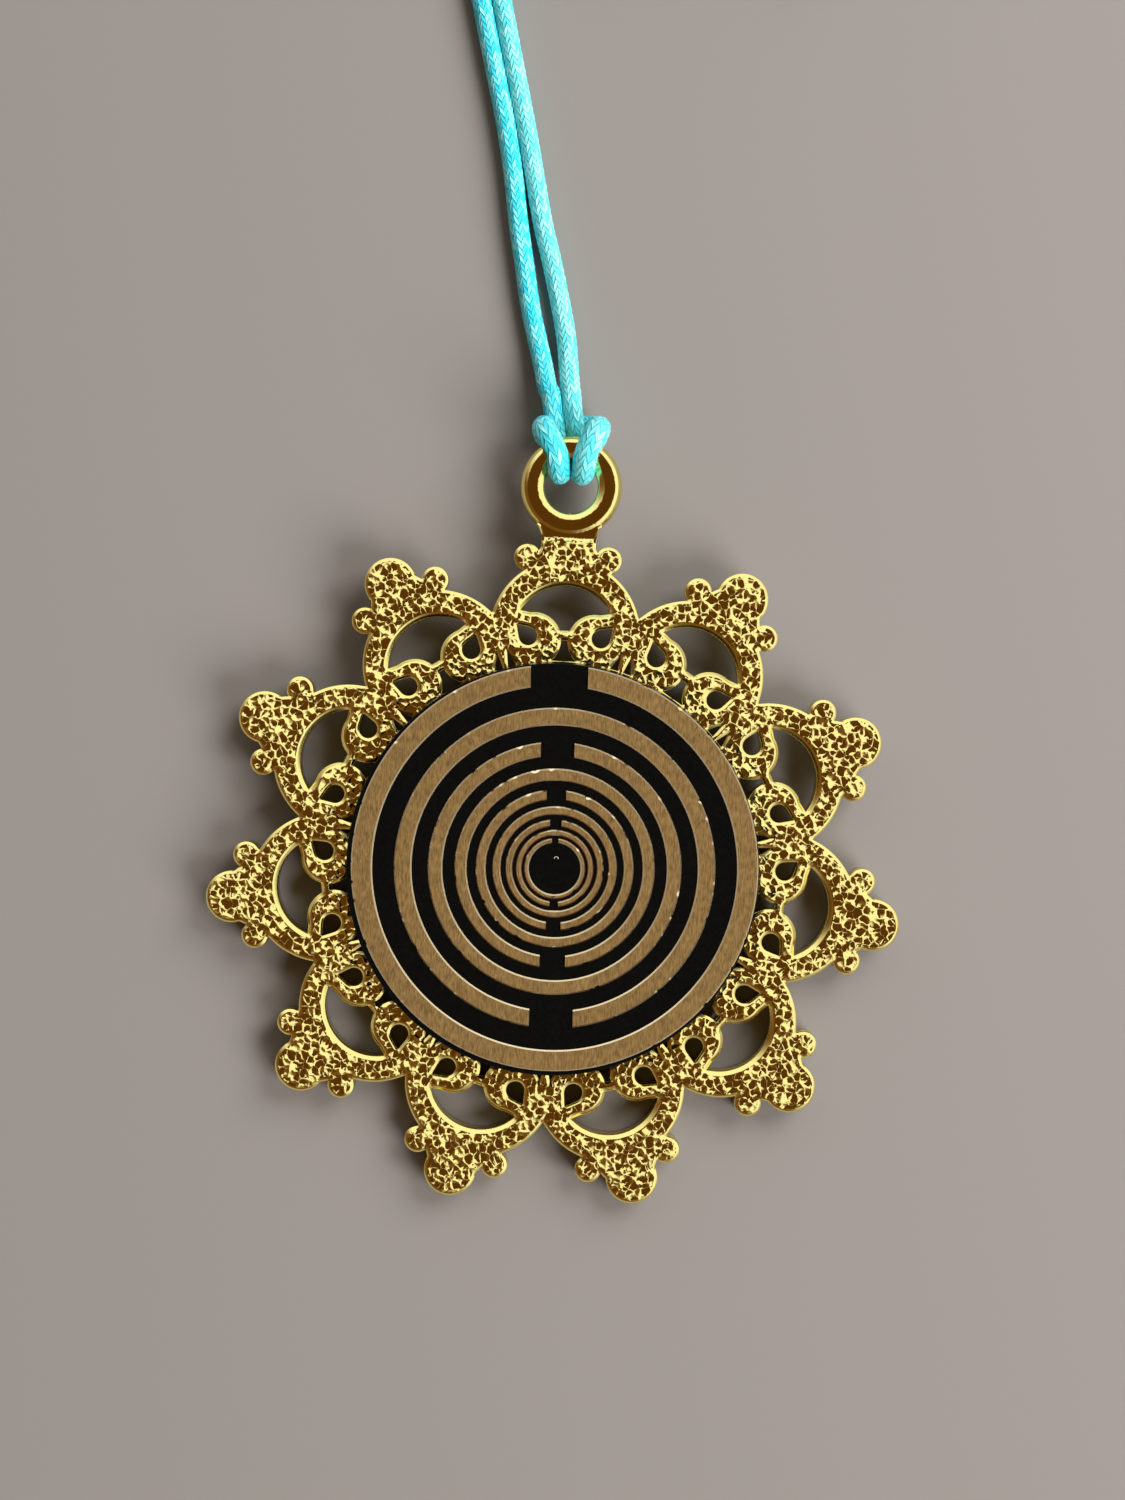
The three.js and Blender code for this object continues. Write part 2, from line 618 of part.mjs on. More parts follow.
const toVector = ([x, y, z]) => new THREE.Vector3(x, y, z);
const hitchPoints = HITCH_ROUTE.map((place) => toVector(place).add(bailTop));
const leftRun = cordTube(LEFT_ROUTE.map(toVector), CORD_DIAMETER, RUN_STEPS);
const rightRun = cordTube(RIGHT_ROUTE.map(toVector), CORD_DIAMETER, RUN_STEPS);
const cord = new THREE.Group();
cord.add(namedMesh("cord_hitch", cordTube(hitchPoints, HITCH_CORD_DIAMETER, HITCH_STEPS), satinCord));
cord.add(namedMesh("cord_left_run", leftRun, satinCord));
cord.add(namedMesh("cord_right_run", rightRun, satinCord));
const [outerPath, innerPath] = [coilPath(1), coilPath(-1)];
cord.add(namedMesh("cord_coil_left", woundTube(outerPath, CORD_DIAMETER), satinCord));
cord.add(namedMesh("cord_coil_right", woundTube(innerPath, CORD_DIAMETER), satinCord));
const knotTop = new THREE.Vector3(COIL_X + COIL_RADIUS, COIL_Y - COIL_TAIL - CORD_END_GAP, KNOT_RADIUS);
cord.add(namedMesh("end_knot", endKnot(knotTop), satinCord));
cord.add(namedMesh("coil_tie", coilTie(), paleBand));

const gaps = [leastGap(outerPath, outerPath, CORD_DIAMETER), leastGap(innerPath, innerPath, CORD_DIAMETER)];
gaps.push(leastGap(outerPath, innerPath, CORD_DIAMETER));
console.log(`least gap in the coil: ${Math.min(...gaps).toFixed(3)} mm`);

// The origin is under the middle of the pendant, on the floor.
const pendantBox = new THREE.Box3().setFromObject(pendant, true);
const group = new THREE.Group();
group.add(pendant, cord);
group.position.y = -(pendantBox.min.y + pendantBox.max.y) / 2;
group.position.z = -pendantBox.min.z;

export default group;
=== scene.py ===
import json
import math

import bmesh
import bpy
import numpy as np
from mathutils import Matrix, Vector, kdtree
from mathutils.geometry import delaunay_2d_cdt


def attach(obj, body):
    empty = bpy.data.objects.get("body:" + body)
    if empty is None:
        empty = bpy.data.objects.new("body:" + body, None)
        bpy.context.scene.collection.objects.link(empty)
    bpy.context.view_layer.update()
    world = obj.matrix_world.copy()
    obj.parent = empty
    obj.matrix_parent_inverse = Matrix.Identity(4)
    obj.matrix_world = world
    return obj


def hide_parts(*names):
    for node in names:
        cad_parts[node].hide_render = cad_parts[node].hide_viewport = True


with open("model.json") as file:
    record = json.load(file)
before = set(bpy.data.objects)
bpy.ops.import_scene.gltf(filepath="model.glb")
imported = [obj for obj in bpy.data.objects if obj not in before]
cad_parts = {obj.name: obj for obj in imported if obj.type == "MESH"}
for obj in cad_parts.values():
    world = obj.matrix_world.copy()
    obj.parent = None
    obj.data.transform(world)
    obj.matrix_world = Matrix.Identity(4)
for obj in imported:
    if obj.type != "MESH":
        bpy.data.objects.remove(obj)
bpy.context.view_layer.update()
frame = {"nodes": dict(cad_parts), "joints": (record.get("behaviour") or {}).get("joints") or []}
MM = 0.001


# Casting: one gold-plated zinc casting of eleven openwork lobes round a flat plate, with a ring bail.
# It is cast in a rubber mould, with a nugget texture between bevelled rims on its front. The plate has
# a shallow tray, in which the disc's adhesive pad lies.
LOBES = 11
HALF_LOBE = math.pi / LOBES
CASTING_THICKNESS = 2.0
CASTING_MIDDLE = CASTING_THICKNESS / 2
PLATE_RADIUS = 15.6
TRAY_RADIUS = 12.5
TRAY_WALL_RUN = 0.05
TRAY_DEPTH = 1.0
ARCH_CENTRE, ARCH_RADIUS = 16.88, 5.5
WINDOW_CENTRE, WINDOW_RADIUS, WINDOW_CORNER = 16.58, 3.8, 18.49
SCROLL_SIDE, SCROLL_CENTRE, SCROLL_RADIUS = 2.19, 16.42, 1.97
SCROLL_SHOULDER = math.radians(100)
BRIDGE_OUTER, BRIDGE_INNER = 17.15, 16.4
EYELET, EYELET_TIP, EYELET_RADIUS = (2.66, 16.63), (3.53, 17.46), 0.67
NOTCH_FOOT = 14.9
SIDE_NOTCH_TIP = 15.95
SIDE_NOTCH_ANGLES = [math.radians(angle) for angle in (13.2, 15.0, 15.6)]
CREST_CENTRE, CREST_RADIUS = 21.9, 2.35
BIG_BALL_CENTRE, BIG_BALL_RADIUS = 23.73, 1.9
SMALL_BALL, SMALL_BALL_RADIUS = (2.96, 22.35), 0.97
BAIL_CENTRE, BAIL_WIRE_RADIUS, BAIL_HOLE_RADIUS = 27.63, 0.895, 1.93
BAIL_RING_RADIUS = BAIL_HOLE_RADIUS + BAIL_WIRE_RADIUS
BAIL_FOOT = BAIL_CENTRE - BAIL_RING_RADIUS - BAIL_WIRE_RADIUS
BAIL_SHARES = (0, 0.28, 0.5, 0.75, 0.92, 0.975, 1)
BAIL_RISE_SHARES = (1, 0.985, 0.92, 0.75, 0.5, 0.28, 0)
BAIL_INNER_SHARES = (0, 0.35, 0.94, 0.975, 1)
BAIL_INNER_RISE_SHARES = (1, 0.99, 0.72, 0.45, 0)
NECK_WIDTH = 4.0
NECK_HEIGHT = 1.7
NECK_FLARE = [(0, 3.8), (0.1, 3.4), (0.28, 2.98), (0.4, 2.65)]
NECK_NUGGETS_END = (1.3, 2.2)
RIM_WIDTH = 0.27
RIM_SIDE_HEIGHT = 1.8
WINDOW_BEVEL = 0.36
WINDOW_SIDE_HEIGHT = 1.7
BACK_ROUNDING = 0.12
BACK_LEAST_SHARE = 0.9
OUTLINE_STEP = 0.03
EDGE_STEP = 0.15
EDGE_LEAST_SHARE = 0.4
FRONT_STEP = 0.135
FRONT_JITTER_SHARE, FRONT_SEED = 0.2, 7
HIDDEN_STEP = 1.2
RIM_DEPTHS = np.array([0.03, 0.1, 0.19, 0.3, 0.41])
RIM_TOLERANCE = 0.015
BORDER_MARGIN = 0.05
BORDER_SCAN = 0.002
BORDER_LEAST_STEP = 0.02
ON_LINE = 1e-5
SAME_POINT = 1e-7
SEEN_FROM_RADIUS = 14.2
HIDDEN_MARGIN = 0.3
NUGGETS_UNDER_DISC = 0.4
HALF_LOBE_REACH = (6, BAIL_CENTRE + BAIL_RING_RADIUS + 1)
NUGGET_SIZE = 0.58
NUGGET_DEPTH = 0.03
NUGGETS_FROM_RIM = (0.95, 1.1)
NUGGET_RIDGE_LOSS, NUGGET_LEAST_RIDGE = 0.36, 0.01
LOBE_SEAM = 0.002
NUGGET_SLOPE = 0.52
GOLD = (1, 0.84, 0.3, 1)


def arc(centre, radius, start, end, step=OUTLINE_STEP):
    count = max(1, math.ceil(abs(end - start) * radius / step))
    angles = np.linspace(start, end, count + 1)
    return np.column_stack([centre[0] + radius * np.cos(angles), centre[1] + radius * np.sin(angles)])


def circle(centre, radius):
    return arc(centre, radius, 0, 2 * math.pi)[:-1]


def straight(points, step=OUTLINE_STEP):
    """The corners' closed polygon, with points added along its long sides."""
    rows = []
    for a, b in zip(points, np.roll(points, -1, axis=0)):
        count = max(1, math.ceil(np.linalg.norm(b - a) / step))
        rows.append(a + (b - a) * np.arange(count)[:, None] / count)
    return np.vstack(rows)


def holes_of_lobe():
    """Outlines of the holes on the right half of a lobe and across its middle line, the window first."""
    corner = math.asin((WINDOW_CORNER - WINDOW_CENTRE) / WINDOW_RADIUS)
    valley = math.asin((BRIDGE_OUTER - SCROLL_CENTRE) / SCROLL_RADIUS)
    left, right = (-SCROLL_SIDE, SCROLL_CENTRE), (SCROLL_SIDE, SCROLL_CENTRE)
    window = np.vstack([
        arc((0, WINDOW_CENTRE), WINDOW_RADIUS, corner, math.pi - corner),
        arc(left, SCROLL_RADIUS, SCROLL_SHOULDER, valley),
        arc(right, SCROLL_RADIUS, math.pi - valley, math.pi - SCROLL_SHOULDER),
    ])
    away = np.subtract(EYELET_TIP, EYELET)
    lean = math.atan2(away[1], away[0])
    opening = math.acos(EYELET_RADIUS / np.linalg.norm(away))
    round_end = arc(EYELET, EYELET_RADIUS, lean + opening, lean + 2 * math.pi - opening)
    eyelet = np.vstack([round_end, [EYELET_TIP]])
    top = math.asin((BRIDGE_INNER - SCROLL_CENTRE) / SCROLL_RADIUS)
    foot = math.asin((NOTCH_FOOT - SCROLL_CENTRE) / SCROLL_RADIUS)
    notch = np.vstack([
        arc(left, SCROLL_RADIUS, top, foot),
        arc(right, SCROLL_RADIUS, math.pi - foot, math.pi - top),
    ])
    side_notch = np.array([
        (radius * math.sin(angle), radius * math.cos(angle))
        for radius, angle in zip((NOTCH_FOOT, SIDE_NOTCH_TIP, NOTCH_FOOT), SIDE_NOTCH_ANGLES)
    ])
    return [straight(outline) for outline in (window, eyelet, notch, side_notch)]


def enclosed(points, starts, ends):
    """Which points lie inside the closed outline that the sides from starts to ends make up."""
    x, y = points[:, 0:1], points[:, 1:2]
    rise = np.where(ends[:, 1] == starts[:, 1], 1, ends[:, 1] - starts[:, 1])
    at = starts[:, 0] + (y - starts[:, 1]) / rise * (ends[:, 0] - starts[:, 0])
    crosses = (starts[:, 1] > y) != (ends[:, 1] > y)
    return (crosses & (x < at)).sum(axis=1) % 2 == 1


def in_polygon(points, polygon):
    return enclosed(points, polygon, np.roll(polygon, -1, axis=0))


def outward(polygon):
    """Normals of a closed outline, pointing away from its inside."""
    ahead, behind = np.roll(polygon, -1, axis=0), np.roll(polygon, 1, axis=0)
    along = ahead - behind
    normal = np.column_stack([along[:, 1], -along[:, 0]])
    normal /= np.linalg.norm(normal, axis=1)[:, None]
    area = (polygon[:, 0] * ahead[:, 1] - ahead[:, 0] * polygon[:, 1]).sum()
    return normal if area > 0 else -normal


def eased(value, start, end):
    share = np.clip((value - start) / (end - start), 0, 1)
    return share * share * (3 - 2 * share)


def rounded(depth, width):
    """Rise of a quarter round from 0 at its rim to 1 at its full width."""
    return np.sqrt(1 - (1 - np.clip(depth / width, 0, 1)) ** 2)


def from_axis(points):
    return np.hypot(points[:, 0], points[:, 1])


def past_border(points):
    """How far each point lies past the line between two lobes."""
    return points[:, 0] * math.cos(HALF_LOBE) - points[:, 1] * math.sin(HALF_LOBE)


def beyond(points):
    """How far each point lies outside the half lobe, across its middle line or its border line."""
    return np.maximum(-points[:, 0], past_border(points))


def lobe_outlines(with_bail):
    """Outlines of the solids that make up a half lobe and of its holes, and a test of what is solid."""
    circles = [((0, 0), PLATE_RADIUS), ((0, ARCH_CENTRE), ARCH_RADIUS), ((0, CREST_CENTRE), CREST_RADIUS)]
    circles.append((SMALL_BALL, SMALL_BALL_RADIUS))
    holes = holes_of_lobe()
    necks = []
    if with_bail:
        circles.append(((0, BAIL_CENTRE), BAIL_RING_RADIUS + BAIL_WIRE_RADIUS))
        holes.append(circle((0, BAIL_CENTRE), BAIL_HOLE_RADIUS))
        side = NECK_WIDTH / 2
        flare = [(side + out, BAIL_CENTRE - down) for out, down in NECK_FLARE]
        neck = np.array([(side, CREST_CENTRE), *flare])
        necks.append(straight(np.vstack([neck, neck[::-1] * (-1, 1)])))
    else:
        circles.append(((0, BIG_BALL_CENTRE), BIG_BALL_RADIUS))

    def inside(points):
        held = np.zeros(len(points), bool)
        for centre, radius in circles:
            held |= from_axis(points - centre) < radius
        for neck in necks:
            held |= in_polygon(points, neck)
        for hole in holes:
            held &= ~in_polygon(points, hole)
        return held

    return [circle(*each) for each in circles] + necks, holes, inside


def rim_finder(fine, at_window):
    """A function for the distance of points from the nearest rim, and for whether that is a window's."""
    across_border = np.array([
        [-math.cos(2 * HALF_LOBE), math.sin(2 * HALF_LOBE)],
        [math.sin(2 * HALF_LOBE), math.cos(2 * HALF_LOBE)],
    ])
    everywhere = np.vstack([fine, fine * (-1, 1), fine @ across_border.T])
    at_window = np.tile(at_window, 3)
    tree = kdtree.KDTree(len(everywhere))
    for i, (x, y) in enumerate(everywhere):
        tree.insert((x, y, 0), i)
    tree.balance()

    def nearest_rim(points):
        found = [tree.find((x, y, 0)) for x, y in points]
        return np.array([hit[2] for hit in found]), at_window[[hit[1] for hit in found]]

    return nearest_rim


def lobe_rims(solids, holes, inside):
    """The mesh's points on the rims of a half lobe with their normals, and the finder of the nearest rim."""
    outlines = [(polygon, outward(polygon)) for polygon in solids]
    outlines += [(polygon, -outward(polygon)) for polygon in holes]
    fine, at_window, edge, edge_normal = [], [], [], []
    hair = OUTLINE_STEP / 6
    pace = round(EDGE_STEP / OUTLINE_STEP)
    for polygon, normal in outlines:
        real = inside(polygon - normal * hair) & ~inside(polygon + normal * hair)
        near = real & (beyond(polygon) < EDGE_STEP)
        fine.append(polygon[near])
        at_window.append(np.full(near.sum(), polygon is holes[0]))
        picked = real & (beyond(polygon) < -EDGE_STEP / 3)
        run_end = picked & ~(np.roll(picked, 1) & np.roll(picked, -1))
        chosen = picked & ((np.arange(len(polygon)) % pace == 0) | run_end)
        edge.append(polygon[chosen])
        edge_normal.append(normal[chosen])
    edge, edge_normal = np.vstack(edge), np.vstack(edge_normal)
    apart = np.ones(len(edge), bool)
    for i, point in enumerate(edge):
        earlier = edge[:i][apart[:i]]
        apart[i] = not len(earlier) or from_axis(earlier - point).min() > EDGE_STEP * EDGE_LEAST_SHARE
    return edge[apart], edge_normal[apart], rim_finder(np.vstack(fine), np.concatenate(at_window))


def border_points(inside):
    """Points along a half lobe's middle line and its border line, close together at their rims."""
    borders = []
    for direction in ((0, 1), (math.sin(HALF_LOBE), math.cos(HALF_LOBE))):
        reach = np.arange(TRAY_RADIUS, HALF_LOBE_REACH[1], BORDER_SCAN)
        held = inside(reach[:, None] * np.array(direction))
        turns = np.flatnonzero(held[1:] != held[:-1])
        ends = [TRAY_RADIUS, *(reach[turns] + reach[turns + 1]) / 2]
        kept = []
        for start, end in zip(ends[::2], ends[1::2]):
            kept.append(end)
            if start > TRAY_RADIUS:
                kept.append(start)
                places = np.append(start + RIM_DEPTHS, end - RIM_DEPTHS)
                kept += list(places[(places > start) & (places < end)])
            inner = max(start + RIM_DEPTHS[-1], SEEN_FROM_RADIUS)
            count = max(1, round((end - RIM_DEPTHS[-1] - inner) / FRONT_STEP))
            kept += list(np.linspace(inner, end - RIM_DEPTHS[-1], count + 1)[1:-1])
        kept = np.unique(np.round(kept, 4))
        kept = kept[np.insert(np.diff(kept) > BORDER_LEAST_STEP, 0, True)]
        borders.append(kept[:, None] * np.array(direction))
    return np.vstack(borders)


def front_grid():
    """Rows of points for the front, each a little off its place at random."""
    jitter = np.random.default_rng(FRONT_SEED)
    rows = np.arange(SEEN_FROM_RADIUS, HALF_LOBE_REACH[1], FRONT_STEP * math.sqrt(3) / 2)
    columns = np.arange(0, HALF_LOBE_REACH[0], FRONT_STEP)
    grid = np.vstack([
        np.column_stack([columns + FRONT_STEP / 2 * (i % 2), np.full(len(columns), y)])
        for i, y in enumerate(rows)
    ])
    return grid + jitter.uniform(-FRONT_JITTER_SHARE, FRONT_JITTER_SHARE, grid.shape) * FRONT_STEP


def plate_points():
    """The few points of the plate, which the disc hides."""
    plate = [np.zeros((1, 2))]
    outer = SEEN_FROM_RADIUS - HIDDEN_MARGIN
    for radius in (TRAY_RADIUS / 2, TRAY_RADIUS - TRAY_WALL_RUN, TRAY_RADIUS, outer):
        angles = np.linspace(0, HALF_LOBE, math.ceil(HALF_LOBE * radius / HIDDEN_STEP) + 1)
        plate.append(np.column_stack([radius * np.sin(angles), radius * np.cos(angles)]))
    return np.vstack(plate)


def triangulated(points, edges, held):
    """Triangles of the points whose middles are held, without slivers along the two border lines."""
    found = delaunay_2d_cdt([Vector(point) for point in points], edges, [], 0, SAME_POINT)
    corners = np.array([tuple(place) for place in found[0]])
    faces = np.array(found[2])
    off_line = np.abs(corners[:, 0]) > ON_LINE
    off_border = np.abs(past_border(corners)) > ON_LINE
    full = off_line[faces].any(axis=1) & off_border[faces].any(axis=1)
    return corners, faces[full & held(corners[faces].mean(axis=1))]


def bail_rise_share(share):
    """Height of the bail's ring over its middle plane, at a share of its half width in (below 0) or out."""
    outer = np.interp(share, BAIL_SHARES, BAIL_RISE_SHARES)
    return np.where(share < 0, np.interp(-share, BAIL_INNER_SHARES, BAIL_INNER_RISE_SHARES), outer)


def wire_rise(points):
    """Half the thickness of the bail's ring at each point, whether it lies in the ring, and in the neck."""
    share = (from_axis(points - (0, BAIL_CENTRE)) - BAIL_RING_RADIUS) / BAIL_WIRE_RADIUS
    below_end = points[:, 1] < BAIL_CENTRE - BAIL_RING_RADIUS
    in_neck = below_end & (np.abs(points[:, 0]) < NECK_WIDTH / 2 + NECK_FLARE[-1][0])
    return BAIL_WIRE_RADIUS * bail_rise_share(share), np.abs(share) < 1 + ON_LINE * 10, in_neck


def front_heights(front, depth, at_window, with_bail):
    """Height of each point of the front, and how strong the nugget texture is there."""
    radius = from_axis(front)
    neck_share = eased(front[:, 1] - CREST_CENTRE, *NECK_NUGGETS_END) * with_bail
    height = CASTING_THICKNESS + (NECK_HEIGHT - CASTING_THICKNESS) * neck_share
    rim_share = depth / np.where(at_window, WINDOW_BEVEL, RIM_WIDTH)
    side_height = np.where(at_window, WINDOW_SIDE_HEIGHT, RIM_SIDE_HEIGHT)
    front_z = side_height + (height - side_height) * np.clip(rim_share, 0, 1)
    front_z[radius < TRAY_RADIUS - TRAY_WALL_RUN / 5] = CASTING_THICKNESS - TRAY_DEPTH
    seen = radius > SEEN_FROM_RADIUS - NUGGETS_UNDER_DISC
    nugget = eased(rim_share, *NUGGETS_FROM_RIM) * seen * (1 - neck_share)
    if with_bail:
        rise, wire, in_neck = wire_rise(front)
        ring_z = CASTING_MIDDLE + rise
        front_z = np.where(wire, np.where(in_neck, np.maximum(front_z, ring_z), ring_z), front_z)
        nugget[wire] = 0
    return front_z, nugget


def back_heights(back, depth, with_bail):
    """Height of each point of the back: flat with rounded rims, and the lower side of the bail's ring."""
    back_z = BACK_ROUNDING * (1 - rounded(depth, BACK_ROUNDING))
    rise, wire, in_neck = wire_rise(back)
    return np.where(wire & ~in_neck & with_bail, CASTING_MIDDLE - rise, back_z)


def half_lobe(with_bail):
    """Mesh of the right half of a lobe in millimetres: points, faces and how strong the nugget texture is."""
    solids, holes, inside = lobe_outlines(with_bail)
    edge, edge_normal, nearest_rim = lobe_rims(solids, holes, inside)

    def rim_distance(points):
        return nearest_rim(points)[0]

    rims = []
    for depth in RIM_DEPTHS:
        moved = edge - edge_normal * depth
        good = inside(moved) & (np.abs(rim_distance(moved) - depth) < RIM_TOLERANCE)
        rims.append(moved[good & (beyond(moved) < -BORDER_MARGIN)])
    grid = front_grid()
    grid = grid[inside(grid) & (beyond(grid) < -FRONT_STEP / 2)]
    grid = grid[from_axis(grid) > SEEN_FROM_RADIUS]
    grid = grid[rim_distance(grid) > RIM_DEPTHS[-1] + FRONT_STEP / 2]
    points = np.vstack([edge, *rims, border_points(inside), grid, plate_points()])
    front, front_faces = triangulated(points, [], inside)

    sides = np.vstack([front_faces[:, [0, 1]], front_faces[:, [1, 2]], front_faces[:, [2, 0]]])
    sides, uses = np.unique(np.sort(sides, axis=1), axis=0, return_counts=True)
    border_sides = sides[uses == 1]
    sides = border_sides[beyond(front[border_sides].mean(axis=1)) < -ON_LINE / 10]
    rim_points = np.unique(sides)
    number = {point: i for i, point in enumerate(rim_points)}
    at_rim = np.zeros(len(front), bool)
    at_rim[rim_points] = True
    on_border = (np.abs(beyond(front)) < ON_LINE) & ~at_rim
    back_inner = edge - edge_normal * BACK_ROUNDING
    back_inner = back_inner[inside(back_inner) & (beyond(back_inner) < -BORDER_MARGIN)]
    back_inner = back_inner[rim_distance(back_inner) > BACK_ROUNDING * BACK_LEAST_SHARE]
    bail_part = np.zeros(len(front), bool)
    if with_bail:
        bail_part = front[:, 1] > BAIL_FOOT
        back_inner = back_inner[back_inner[:, 1] < BAIL_FOOT]
    back_rest = front[(on_border | bail_part) & ~at_rim]
    back, back_faces = triangulated(
        np.vstack([front[rim_points], back_inner, back_rest]), [(number[a], number[b]) for a, b in sides],
        lambda points: enclosed(points, front[border_sides[:, 0]], front[border_sides[:, 1]]),
    )

    depth, at_window = nearest_rim(front)
    depth[rim_points] = 0
    front_z, nugget = front_heights(front, depth, at_window, with_bail)
    depth = rim_distance(back)
    depth[:len(rim_points)] = 0
    back_z = back_heights(back, depth, with_bail)
    points = np.vstack([np.column_stack([front, front_z]), np.column_stack([back, back_z])])
    walls = [(a, b, number[b] + len(front), number[a] + len(front)) for a, b in sides]
    faces = [*map(tuple, front_faces), *map(tuple, back_faces[:, ::-1] + len(front)), *walls]
    return points, faces, np.append(nugget, np.zeros(len(back)))


def new_object(name, data):
    made = bpy.data.objects.new(name, data)
    bpy.context.scene.collection.objects.link(made)
    return made


def lobe_object(name, with_bail, material):
    """A whole lobe: the right half and its mirror image."""
    points, faces, nugget = half_lobe(with_bail)
    mirrored = [tuple(corner + len(points) for corner in reversed(face)) for face in faces]
    mesh = bpy.data.meshes.new(name)
    mesh.from_pydata(np.vstack([points, points * (-1, 1, 1)]) * MM, [], faces + mirrored)
    mesh.materials.append(material)
    mask = mesh.attributes.new("nugget", "FLOAT", "POINT")
    mask.data.foreach_set("value", np.tile(nugget, 2))
    return new_object(name, mesh)


def feed(made, inputs):
    """Gives each input of a node its value, or links the socket or the node's first output that feeds it."""
    for key, value in inputs.items():
        if isinstance(value, bpy.types.Node):
            value = value.outputs[0]
        if isinstance(value, bpy.types.NodeSocket):
            made.id_data.links.new(value, made.inputs[key])
        else:
            made.inputs[key].default_value = value


def node(tree, kind, inputs=None, **settings):
    made = tree.nodes.new(kind)
    for key, value in settings.items():
        setattr(made, key, value)
    feed(made, inputs or {})
    return made


def maths(operation, *values):
    """A Math node, in the tree that the first of its values other than a number is in."""
    tree = next(value.id_data for value in values if isinstance(value, bpy.types.bpy_struct))
    return node(tree, "ShaderNodeMath", dict(enumerate(values)), operation=operation)


def vector_maths(operation, first, *others, **named):
    inputs = {**dict(enumerate((first, *others))), **named}
    return node(first.id_data, "ShaderNodeVectorMath", inputs, operation=operation)


def nuggets(place, size):
    """The nugget texture in any tree: its height from 0 on flat ground to 1, and its direction uphill."""
    tree = place.id_data
    scale = node(tree, "ShaderNodeMath", {0: 1.0, 1: size}, operation="DIVIDE")
    drift = node(tree, "ShaderNodeTexNoise", {"Vector": place, "Scale": scale, "Detail": 2.0})
    centred = vector_maths("SUBTRACT", drift.outputs["Color"], (0.5, 0.5, 0.5))
    moved = vector_maths("ADD", place, vector_maths("SCALE", centred, Scale=size))
    at = {"Vector": moved, "Scale": scale}
    cells = node(tree, "ShaderNodeTexVoronoi", at)
    border = node(tree, "ShaderNodeTexVoronoi", at, feature="DISTANCE_TO_EDGE")
    ridge_width = maths("SUBTRACT", drift, NUGGET_RIDGE_LOSS)
    width = maths("MAXIMUM", ridge_width, NUGGET_LEAST_RIDGE)
    share = maths("DIVIDE", border.outputs["Distance"], width)
    height = maths("MAXIMUM", maths("SUBTRACT", 1.0, share), 0.0)
    from_middle = vector_maths("SUBTRACT", moved, cells.outputs["Position"])
    level = vector_maths("MULTIPLY", from_middle, (1, 1, 0))
    return height, vector_maths("NORMALIZE", level)


def new_tree(name, kind, inputs, outputs):
    """A node tree with named inputs, given as name, what they hold and value, and named outputs."""
    tree = bpy.data.node_groups.new(name, kind)
    for label, holds, value in inputs:
        socket = tree.interface.new_socket(label, in_out="INPUT", socket_type="NodeSocket" + holds)
        if value is not None:
            socket.default_value = value
    for label, holds in outputs:
        tree.interface.new_socket(label, in_out="OUTPUT", socket_type="NodeSocket" + holds)
    return tree, tree.nodes.new("NodeGroupInput").outputs, tree.nodes.new("NodeGroupOutput")


def realized(name, source, tree, values):
    """The source object's mesh as the tree makes it with those input values, as a plain object."""
    modifier = source.modifiers.new(tree.name, "NODES")
    modifier.node_group = tree
    for socket in tree.interface.items_tree:
        if socket.in_out == "INPUT" and socket.name in values:
            modifier[socket.identifier] = values[socket.name]
    evaluated = source.evaluated_get(bpy.context.evaluated_depsgraph_get())
    mesh = bpy.data.meshes.new_from_object(evaluated)
    mesh.name = name
    source.modifiers.remove(modifier)
    bpy.data.objects.remove(source)
    return new_object(name, mesh)


def turn_outward(mesh, merge=1e-6):
    work = bmesh.new()
    work.from_mesh(mesh)
    bmesh.ops.remove_doubles(work, verts=work.verts, dist=merge)
    bmesh.ops.dissolve_degenerate(work, edges=work.edges, dist=merge / 10)
    bmesh.ops.recalc_face_normals(work, faces=work.faces)
    work.to_mesh(mesh)
    work.free()


tree, given, result = new_tree("Lobes round the plate", "GeometryNodeTree", [
    ("Geometry", "Geometry", None),
    ("Plain lobe", "Object", None),
    ("Lobes", "Int", LOBES),
    ("Nugget size", "Float", NUGGET_SIZE * MM),
    ("Nugget depth", "Float", NUGGET_DEPTH * MM),
    ("Material", "Material", None),
], [("Geometry", "Geometry")])
plain = node(tree, "GeometryNodeObjectInfo", {"Object": given["Plain lobe"]})
count = maths("SUBTRACT", given["Lobes"], 1.0)
places = node(tree, "GeometryNodePoints", {"Count": count})
step = maths("DIVIDE", -2 * math.pi, given["Lobes"])
ordinal = maths("ADD", tree.nodes.new("GeometryNodeInputIndex"), 1.0)
turn = node(tree, "ShaderNodeCombineXYZ", {"Z": maths("MULTIPLY", ordinal, step)})
lobes = node(tree, "GeometryNodeInstanceOnPoints", {
    "Points": places, "Instance": plain.outputs["Geometry"], "Rotation": turn,
})
real = node(tree, "GeometryNodeRealizeInstances", {"Geometry": lobes})
whole = tree.nodes.new("GeometryNodeJoinGeometry")
for part in (given["Geometry"], real):
    feed(whole, {0: part})
merged = node(tree, "GeometryNodeMergeByDistance", {"Geometry": whole, "Distance": LOBE_SEAM * MM})
place = tree.nodes.new("GeometryNodeInputPosition")
kept = node(tree, "GeometryNodeStoreNamedAttribute", {
    "Geometry": merged, "Name": "cast_place", "Value": place,
}, data_type="FLOAT_VECTOR", domain="POINT")
mask = node(tree, "GeometryNodeInputNamedAttribute", {"Name": "nugget"}, data_type="FLOAT")
cast_place = node(tree, "GeometryNodeInputNamedAttribute", {"Name": "cast_place"}, data_type="FLOAT_VECTOR")
ridge, _ = nuggets(cast_place.outputs["Attribute"], given["Nugget size"])
below = maths("MULTIPLY", maths("SUBTRACT", ridge, 1.0), given["Nugget depth"])
